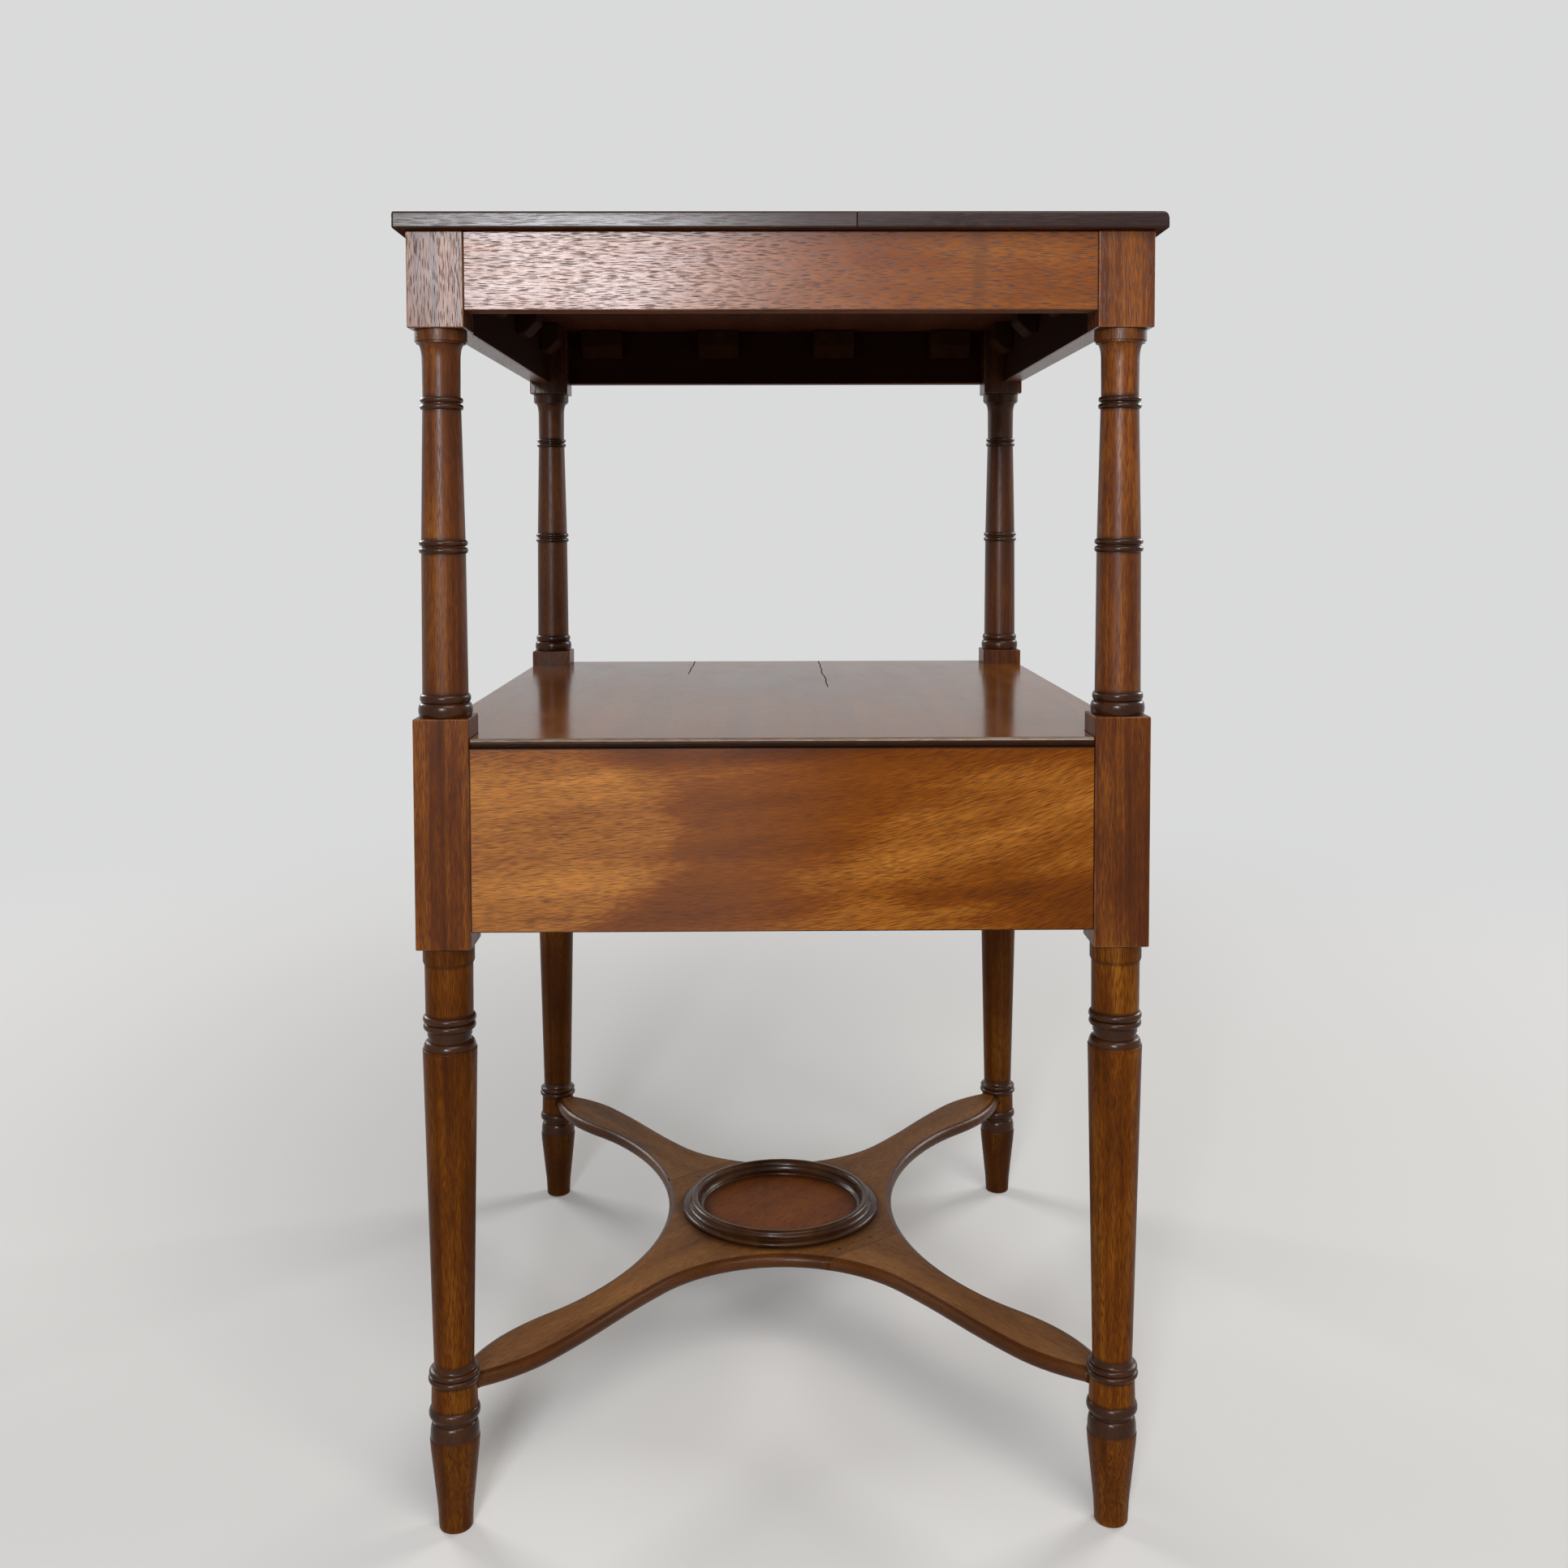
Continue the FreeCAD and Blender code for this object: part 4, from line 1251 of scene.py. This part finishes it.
@dataclass
class Frieze(SubAssembly):
    """Four rails under the top with the glue blocks that hold it."""

    arris: float = 0.8 * MM
    block_arris: float = 1.6 * MM
    block_seed: float = 0.4
    seed: float = 5.3
    hidden_seed: float = 2.3
    edge_seed: float = 6.3

    def build(self) -> None:
        """Makes the rails, bare inside and painted near-black there as shade, and the glue blocks, painted
        dark as shade.
        """
        rails = (("frieze_left", FRIEZE_WOOD, Grain.CROSS, RAIL_EDGE, (1.0, 0.0, 0.0)),
                 ("frieze_right", RAIL_WOOD, Grain.CROSS, RAIL_EDGE, (-1.0, 0.0, 0.0)),
                 ("frieze_front", RAIL_WOOD, Grain.LONG, LONG_RAIL_EDGE, (0.0, 1.0, 0.0)),
                 ("frieze_back", RAIL_WOOD, Grain.LONG, LONG_RAIL_EDGE, (0.0, -1.0, 0.0)))
        for index, (node, wood, grain, edge, inward) in enumerate(rails):
            others = ((faces_to(inward), INSIDE_SHADE_WOOD.material(grain, self.hidden_seed + index)),
                      (faces_to(DOWN), edge.material(grain, self.edge_seed + index)))
            self.eased(node, wood, grain, self.seed + index, self.arris, others)
        self.eased("top_glue_blocks", SHADED_PINE, Grain.LONG, self.block_seed, self.block_arris)


@dataclass
class DrawerCase(SubAssembly):
    """Shelf, panels and rails of the drawer case with the slides inside it."""

    arris: float = 0.8 * MM
    nose: float = 1.2 * MM
    slide_arris: float = 0.6 * MM
    hidden_seed: float = 6.3
    shelf_seeds: Triple = (2.2, 7.1, 8.2)

    def build(self) -> None:
        """Makes the case, bare inside and painted near-black there as shade."""
        hidden_side = INSIDE_SHADE_WOOD.material(Grain.LONG, self.hidden_seed)
        seed, nose_seed, edge_seed = self.shelf_seeds
        # The shelf's nose takes painted shade, and the rounding above it a painted highlight.
        others = ((faces_to(DOWN), hidden_side), (is_end, NOSE_SHADE_WOOD.material(Grain.CROSS, nose_seed)),
                  (is_upper_arris, NOSE_HIGHLIGHT.material(Grain.CROSS, edge_seed)))
        self.eased("shelf_board", SHELF_WOOD, Grain.LONG, seed, self.nose, others)
        walls = (("case_panel_left", PANEL_WOOD, Grain.CROSS, 4.6, (1.0, 0.0, 0.0)),
                 ("case_panel_right", CASE_WOOD, Grain.CROSS, 5.9, (-1.0, 0.0, 0.0)),
                 ("case_panel_back", CASE_WOOD, Grain.LONG, 7.2, (0.0, -1.0, 0.0)),
                 ("drawer_top_rail", CASE_WOOD, Grain.LONG, 8.5, (0.0, 1.0, 0.0)),
                 ("drawer_bottom_rail", CASE_WOOD, Grain.LONG, 9.8, (0.0, 1.0, 0.0)))
        for node, wood, grain, seed, inward in walls:
            self.eased(node, wood, grain, seed, self.arris, [(faces_to(inward), hidden_side)])
        for node, seed in (("shelf_glue_blocks", 1.4), ("drawer_stops", 2.4)):
            self.eased(node, SHADED_PINE, Grain.LONG, seed, self.slide_arris)
        for index, side in enumerate(("left", "right")):
            for slide, seed in (("runner", 3.3), ("kicker", 3.6), ("guide", 3.9)):
                self.eased(f"drawer_{slide}_{side}", SHADED_PINE, Grain.CROSS, seed + index, self.slide_arris)


@dataclass
class Stretcher(SubAssembly):
    """Two serpentine bars halved across each other, with the turned ring of the jug's dish."""

    rim_round: float = 4.7 * MM
    rim_flats: int = 8
    rim_angle: float = 50.0
    rim_least: float = 0.5
    side_most: float = 0.3
    joint_arris: float = 1.1 * MM
    joint_flats: int = 2
    joint_angle: float = 60.0
    shoulder: float = 93.0 * MM
    square_most: float = 0.05
    lap_half: float = 25.0 * MM
    plane_gap: float = 0.15 * MM
    nail_hole: float = 3.0 * MM
    ring_steps: int = 120
    ring_seed: float = 4.3

    def build(self) -> None:
        """Makes the bars, the ring and the nails."""
        rising = centre_of("post_back_right").to_2d().normalized()
        falling = Vector((rising.x, -rising.y))
        for node, grain, seed in (("stretcher_upper_bar", Grain.FALLING_ARM, 1.1),
                                  ("stretcher_under_bar", Grain.RISING_ARM, 2.7)):
            bm = copy_of(node)
            rims = [edge for edge in sharp_edges(bm, self.rim_angle) if self.is_rim(edge, rising, falling)]
            ease(bm, rims, self.rim_round, self.rim_flats)
            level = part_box(node)[1].z - self.plane_gap
            joints = [edge for edge in sharp_edges(bm, self.joint_angle)
                      if all(vert.co.z > level for vert in edge.verts)]
            ease(bm, joints, self.joint_arris, self.joint_flats, "joint")
            # Rims and upright sides take the painted shade.
            others = [(self.on_rim(bm), RIM_SHADE_WOOD.material(grain, seed))]
            self.install(bm, node, "finished", STRETCHER_WOOD, grain, seed, others)
        self.build_ring()
        self.dress("stretcher_nails", NailIron().material())

    def on_rim(self, bm: bmesh.types.BMesh) -> FaceTest:
        """Makes a test for faces of a bar's rounded rims and upright sides."""
        layer = bm.faces.layers.float["arris"]
        return lambda face: face[layer] > self.rim_least or abs(face.normal.z) < self.side_most

    def is_rim(self, edge: bmesh.types.BMEdge, rising: Vector, falling: Vector) -> bool:
        """Tells whether an edge belongs to the moulded rim, not to a joint.

        Args:
            edge: The edge.
            rising: Direction of the under bar in plan.
            falling: Direction of the upper bar in plan.

        Returns:
            True on the rim.
        """
        first, second = (vert.co for vert in edge.verts)
        if abs(first.z - second.z) > MERGE_GAP or edge.calc_length() < self.nail_hole:
            return False
        low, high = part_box("stretcher_upper_bar")
        if min(abs(first.z - low.z), abs(first.z - high.z)) > self.plane_gap:
            return False
        ends = (first.to_2d(), second.to_2d())
        way = (ends[1] - ends[0]).normalized()
        for axis in (rising, falling):
            far = min(abs(end.dot(axis)) for end in ends)
            if far > self.shoulder - self.plane_gap and abs(way.dot(axis)) < self.square_most:
                return False
        return not all(abs(abs(end.cross(rising)) - self.lap_half) < self.plane_gap for end in ends)

    def build_ring(self) -> None:
        """Turns the stepped moulding of the dish."""
        low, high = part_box("dish_ring")
        width, rise = RING_OUTER - RING_INNER, high.z - low.z
        outline = [(RING_INNER + width * across, low.z + rise * up, dark)
                   for across, up, dark in self.moulding()]
        bm = bmesh.new()
        spin(bm, outline, Matrix.Identity(4), self.ring_steps, closed=True)
        self.install(bm, "dish_ring", "turned", RING_WOOD, Grain.LONG, self.ring_seed)

    def moulding(self) -> List[Triple]:
        """Lays out the ring's section from its outer foot: a bead, a cove, a crown and a hollow.

        Returns:
            Places of its points as shares of the ring's width and rise, with how dark they are.
        """
        # The darkness is partly old polish and partly painted shade in the hollows.
        return [
            (1.0, 0.0, 0.6),
            *self.arc((0.86, 0.20), (0.14, 0.20), (-70.0, 80.0), 0.6),
            (0.80, 0.42, 1.0),
            (0.80, 0.52, 1.0),
            *self.arc((0.80, 0.82), (0.16, 0.30), (-90.0, -180.0), 0.8),
            *self.arc((0.46, 0.80), (0.18, 0.20), (0.0, 180.0), 0.3),
            (0.24, 0.74, 1.0),
            *self.arc((0.0, 0.74), (0.24, 0.58), (0.0, -80.0), 0.7),
            (0.0, 0.10, 0.8),
            (0.0, 0.0, 0.8),
        ]

    @staticmethod
    def arc(centre: Span, reach: Span, sweep: Span, dark: float, flats: int = 8) -> List[Triple]:
        """Gives points on an arc of a moulding.

        Args:
            centre: Middle of the arc, across and up.
            reach: Its radius across and up.
            sweep: Its first and last angle in degrees.
            dark: How dark its points are.
            flats: How many flats it has.

        Returns:
            Its points with their darkness.
        """
        step = (sweep[1] - sweep[0]) / flats
        angles = [math.radians(sweep[0] + step * index) for index in range(flats + 1)]
        return [(centre[0] + reach[0] * math.cos(angle), centre[1] + reach[1] * math.sin(angle), dark)
                for angle in angles]


@dataclass
class Drawer(SubAssembly):
    """Dovetailed drawer with cock beads and two turned knobs."""

    body: str = "drawer"
    arris: float = 0.5 * MM
    bead_round: float = 0.6 * MM
    knob_steps: int = 40
    knob_seed: float = 6.6
    knob_start: float = 8.6
    knob: Tuple[Turning, ...] = (
        Turning(Cut.OVOLO, 1.6, 7.2, dark=0.6),
        Turning(Cut.COVE, 3.4, 6.0, dark=0.8),
        Turning(Cut.COVE, 3.2, 9.6, dark=0.5),
        Turning(Cut.OVOLO, 3.0, 12.5),
        Turning(Cut.OVOLO, 3.6, 7.8),
        Turning(Cut.COVE, 0.7, 6.9, dark=0.8),
        Turning(Cut.OVOLO, 1.5, 0.6, flats=6),
    )

    def build(self) -> None:
        """Makes the drawer."""
        boards = (("drawer_front", DRAWER_WOOD, Grain.LONG, 5.5, self.arris),
                  ("drawer_back", LINING_OAK, Grain.LONG, 1.2, self.arris),
                  ("drawer_bottom", LINING_OAK, Grain.LONG, 2.3, self.arris),
                  ("drawer_side_left", LINING_OAK, Grain.CROSS, 3.4, self.arris),
                  ("cock_bead_left", BEAD_WOOD, Grain.UPRIGHT, 1.7, self.bead_round),
                  ("drawer_side_right", LINING_OAK, Grain.CROSS, 4.4, self.arris),
                  ("cock_bead_right", BEAD_WOOD, Grain.UPRIGHT, 2.7, self.bead_round),
                  ("cock_bead_bottom", BEAD_WOOD, Grain.LONG, 4.7, self.bead_round),
                  ("cock_bead_top", BEAD_WOOD, Grain.LONG, 5.7, self.bead_round))
        for board in boards:
            self.eased(*board)
        self.build_knobs()

    def build_knobs(self) -> None:
        """Turns the two knobs."""
        low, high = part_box("drawer_knobs")
        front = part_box("drawer_front")[0].y
        middle = centre_of("drawer_knobs").z
        radius = max(cut.radius for cut in self.knob) * MM
        bm = bmesh.new()
        for x in (low.x + radius, high.x - radius):
            seat = Matrix.Translation((x, front, middle)) @ Matrix.Rotation(math.pi / 2, 4, "X")
            turn(bm, self.knob, self.knob_start, seat, self.knob_steps)
        self.install(bm, "drawer_knobs", "turned", KNOB_WOOD, Grain.CROSS, self.knob_seed)


# The studio

@dataclass(frozen=True)
class Lamp:
    """A soft lamp that faces a point of the stand."""

    name: str
    place: Triple
    aim: Triple
    width: float
    height: float
    power: float
    colour: Colour

    def hang(self) -> None:
        """Makes the lamp."""
        light = bpy.data.lights.new(self.name, "AREA")
        light.shape = "RECTANGLE"
        light.size = self.width
        light.size_y = self.height
        light.energy = self.power
        light.color = self.colour
        lamp = bpy.data.objects.new(self.name, light)
        way = Vector(self.aim) - Vector(self.place)
        lamp.matrix_world = Matrix.Translation(self.place) @ way.to_track_quat("-Z", "Y").to_matrix().to_4x4()
        bpy.context.scene.collection.objects.link(lamp)


@dataclass(frozen=True)
class Viewpoint:
    """Where the photograph was taken from."""

    place: Triple = (-1.2254, 0.00965, 0.62075)
    forward: Triple = (0.99862, -0.01105, -0.05136)
    roll: float = -0.002379
    focal_pixels: float = 2000.0
    image_pixels: float = 1932.0
    axis_row_pixels: float = 743.3
    sensor: float = 36.0
    nearest: float = 10.0 * MM

    def set_up(self) -> None:
        """Makes the camera."""
        data = bpy.data.cameras.new("camera")
        data.sensor_width = self.sensor
        data.lens = self.sensor * self.focal_pixels / self.image_pixels
        data.shift_y = (self.axis_row_pixels - self.image_pixels / 2) / self.image_pixels
        data.clip_start = self.nearest
        forward = Vector(self.forward).normalized()
        right = forward.cross(Vector((0.0, 0.0, 1.0))).normalized()
        level = Matrix((right, right.cross(forward), -forward)).transposed()
        camera = bpy.data.objects.new("camera", data)
        turned = (level @ Matrix.Rotation(self.roll, 3, "Z")).to_4x4()
        camera.matrix_world = Matrix.Translation(self.place) @ turned
        bpy.context.scene.collection.objects.link(camera)
        bpy.context.scene.camera = camera


@dataclass
class Studio:
    """Pale floor, soft light and camera."""

    floor_radius: float = 14.0
    floor_sides: int = 96
    floor_seen: float = 0.70
    floor_bounce: float = 0.30
    floor_tint: Colour = (1.0, 0.995, 0.985)
    floor_roughness: float = 0.7
    fade: Span = (0.45, 2.3)
    sky_colour: Colour = (0.70, 0.702, 0.705)
    sky_light: float = 0.17
    lamps: Tuple[Lamp, ...] = (
        Lamp("window", (-2.9, 0.46, 1.20), (0.0, 0.0, 0.55), 0.58, 0.50, 58.0, (0.95, 0.96, 1.0)),
        Lamp("front", (-1.9, -0.7, 2.3), (0.0, 0.0, 0.4), 1.6, 1.2, 36.0, (1.0, 0.97, 0.92)),
        Lamp("drawer_side", (1.6, -2.2, 1.6), (0.0, 0.0, 0.45), 1.2, 0.9, 36.0, (1.0, 0.98, 0.95)),
        Lamp("far_side", (1.9, 2.0, 1.6), (0.0, 0.0, 0.45), 1.2, 0.9, 36.0, (1.0, 0.98, 0.95)),
    )

    def build(self) -> None:
        """Sets up the studio."""
        self.lay_floor()
        self.light_world()
        for lamp in self.lamps:
            lamp.hang()
        Viewpoint().set_up()
        bpy.context.scene.view_settings.view_transform = "Standard"

    def lay_floor(self) -> None:
        """Lays the floor, which fades into the backdrop away from the stand."""
        bm = bmesh.new()
        bmesh.ops.create_circle(bm, cap_ends=True, radius=self.floor_radius, segments=self.floor_sides)
        mesh = bpy.data.meshes.new("floor")
        bm.to_mesh(mesh)
        bm.free()
        material = bpy.data.materials.new("floor_paint")
        paint = Paint(material)
        seen = self.seen_rays(paint)
        pale = self.floor_bounce + seen * (self.floor_seen - self.floor_bounce)
        near = paint.add("ShaderNodeBsdfPrincipled", None, {
            "Base Color": paint.join(*(pale * part for part in self.floor_tint)),
            "Roughness": self.floor_roughness,
        })
        far = paint.add("ShaderNodeEmission", None, {"Color": (*self.sky_colour, 1.0)})
        mix = paint.add("ShaderNodeMixShader", None, {
            "Fac": paint.span(paint.radius(), *self.fade) * seen,
            "Shader": paint.read(near, "BSDF"),
            "Shader_001": paint.read(far, "Emission"),
        })
        paint.add("ShaderNodeOutputMaterial", None, {"Surface": paint.read(mix, "Shader")})
        mesh.materials.append(material)
        floor = bpy.data.objects.new("floor", mesh)
        bpy.context.scene.collection.objects.link(floor)

    def light_world(self) -> None:
        """Lights the stand from all round, in front of a pale backdrop."""
        world = bpy.data.worlds.new("studio")
        bpy.context.scene.world = world
        paint = Paint(world)
        strength = self.sky_light + self.seen_rays(paint) * (1.0 - self.sky_light)
        sockets = {"Color": (*self.sky_colour, 1.0), "Strength": strength}
        shader = paint.add("ShaderNodeBackground", None, sockets)
        paint.add("ShaderNodeOutputWorld", None, {"Surface": paint.read(shader, "Background")})

    @staticmethod
    def seen_rays(paint: Paint) -> Signal:
        """Tells apart the rays that show the backdrop: to the camera, in gloss and through glass.

        Args:
            paint: The graph.

        Returns:
            1 for these rays and 0 for the others.
        """
        path = paint.add("ShaderNodeLightPath")
        kinds = ("Camera", "Glossy", "Transmission")
        camera, gloss, glass = (paint.read(path, f"Is {kind} Ray") for kind in kinds)
        return paint.math("MAXIMUM", camera, paint.math("MAXIMUM", gloss, glass))


def main() -> None:
    """Builds the stand and the studio."""
    logging.basicConfig(level=logging.INFO, format="%(name)s: %(message)s")
    for assembly in (Posts(), Top(), Frieze(), DrawerCase(), Stretcher(), Drawer()):
        assembly.build()
    Studio().build()


if __name__ == "__main__":
    main()
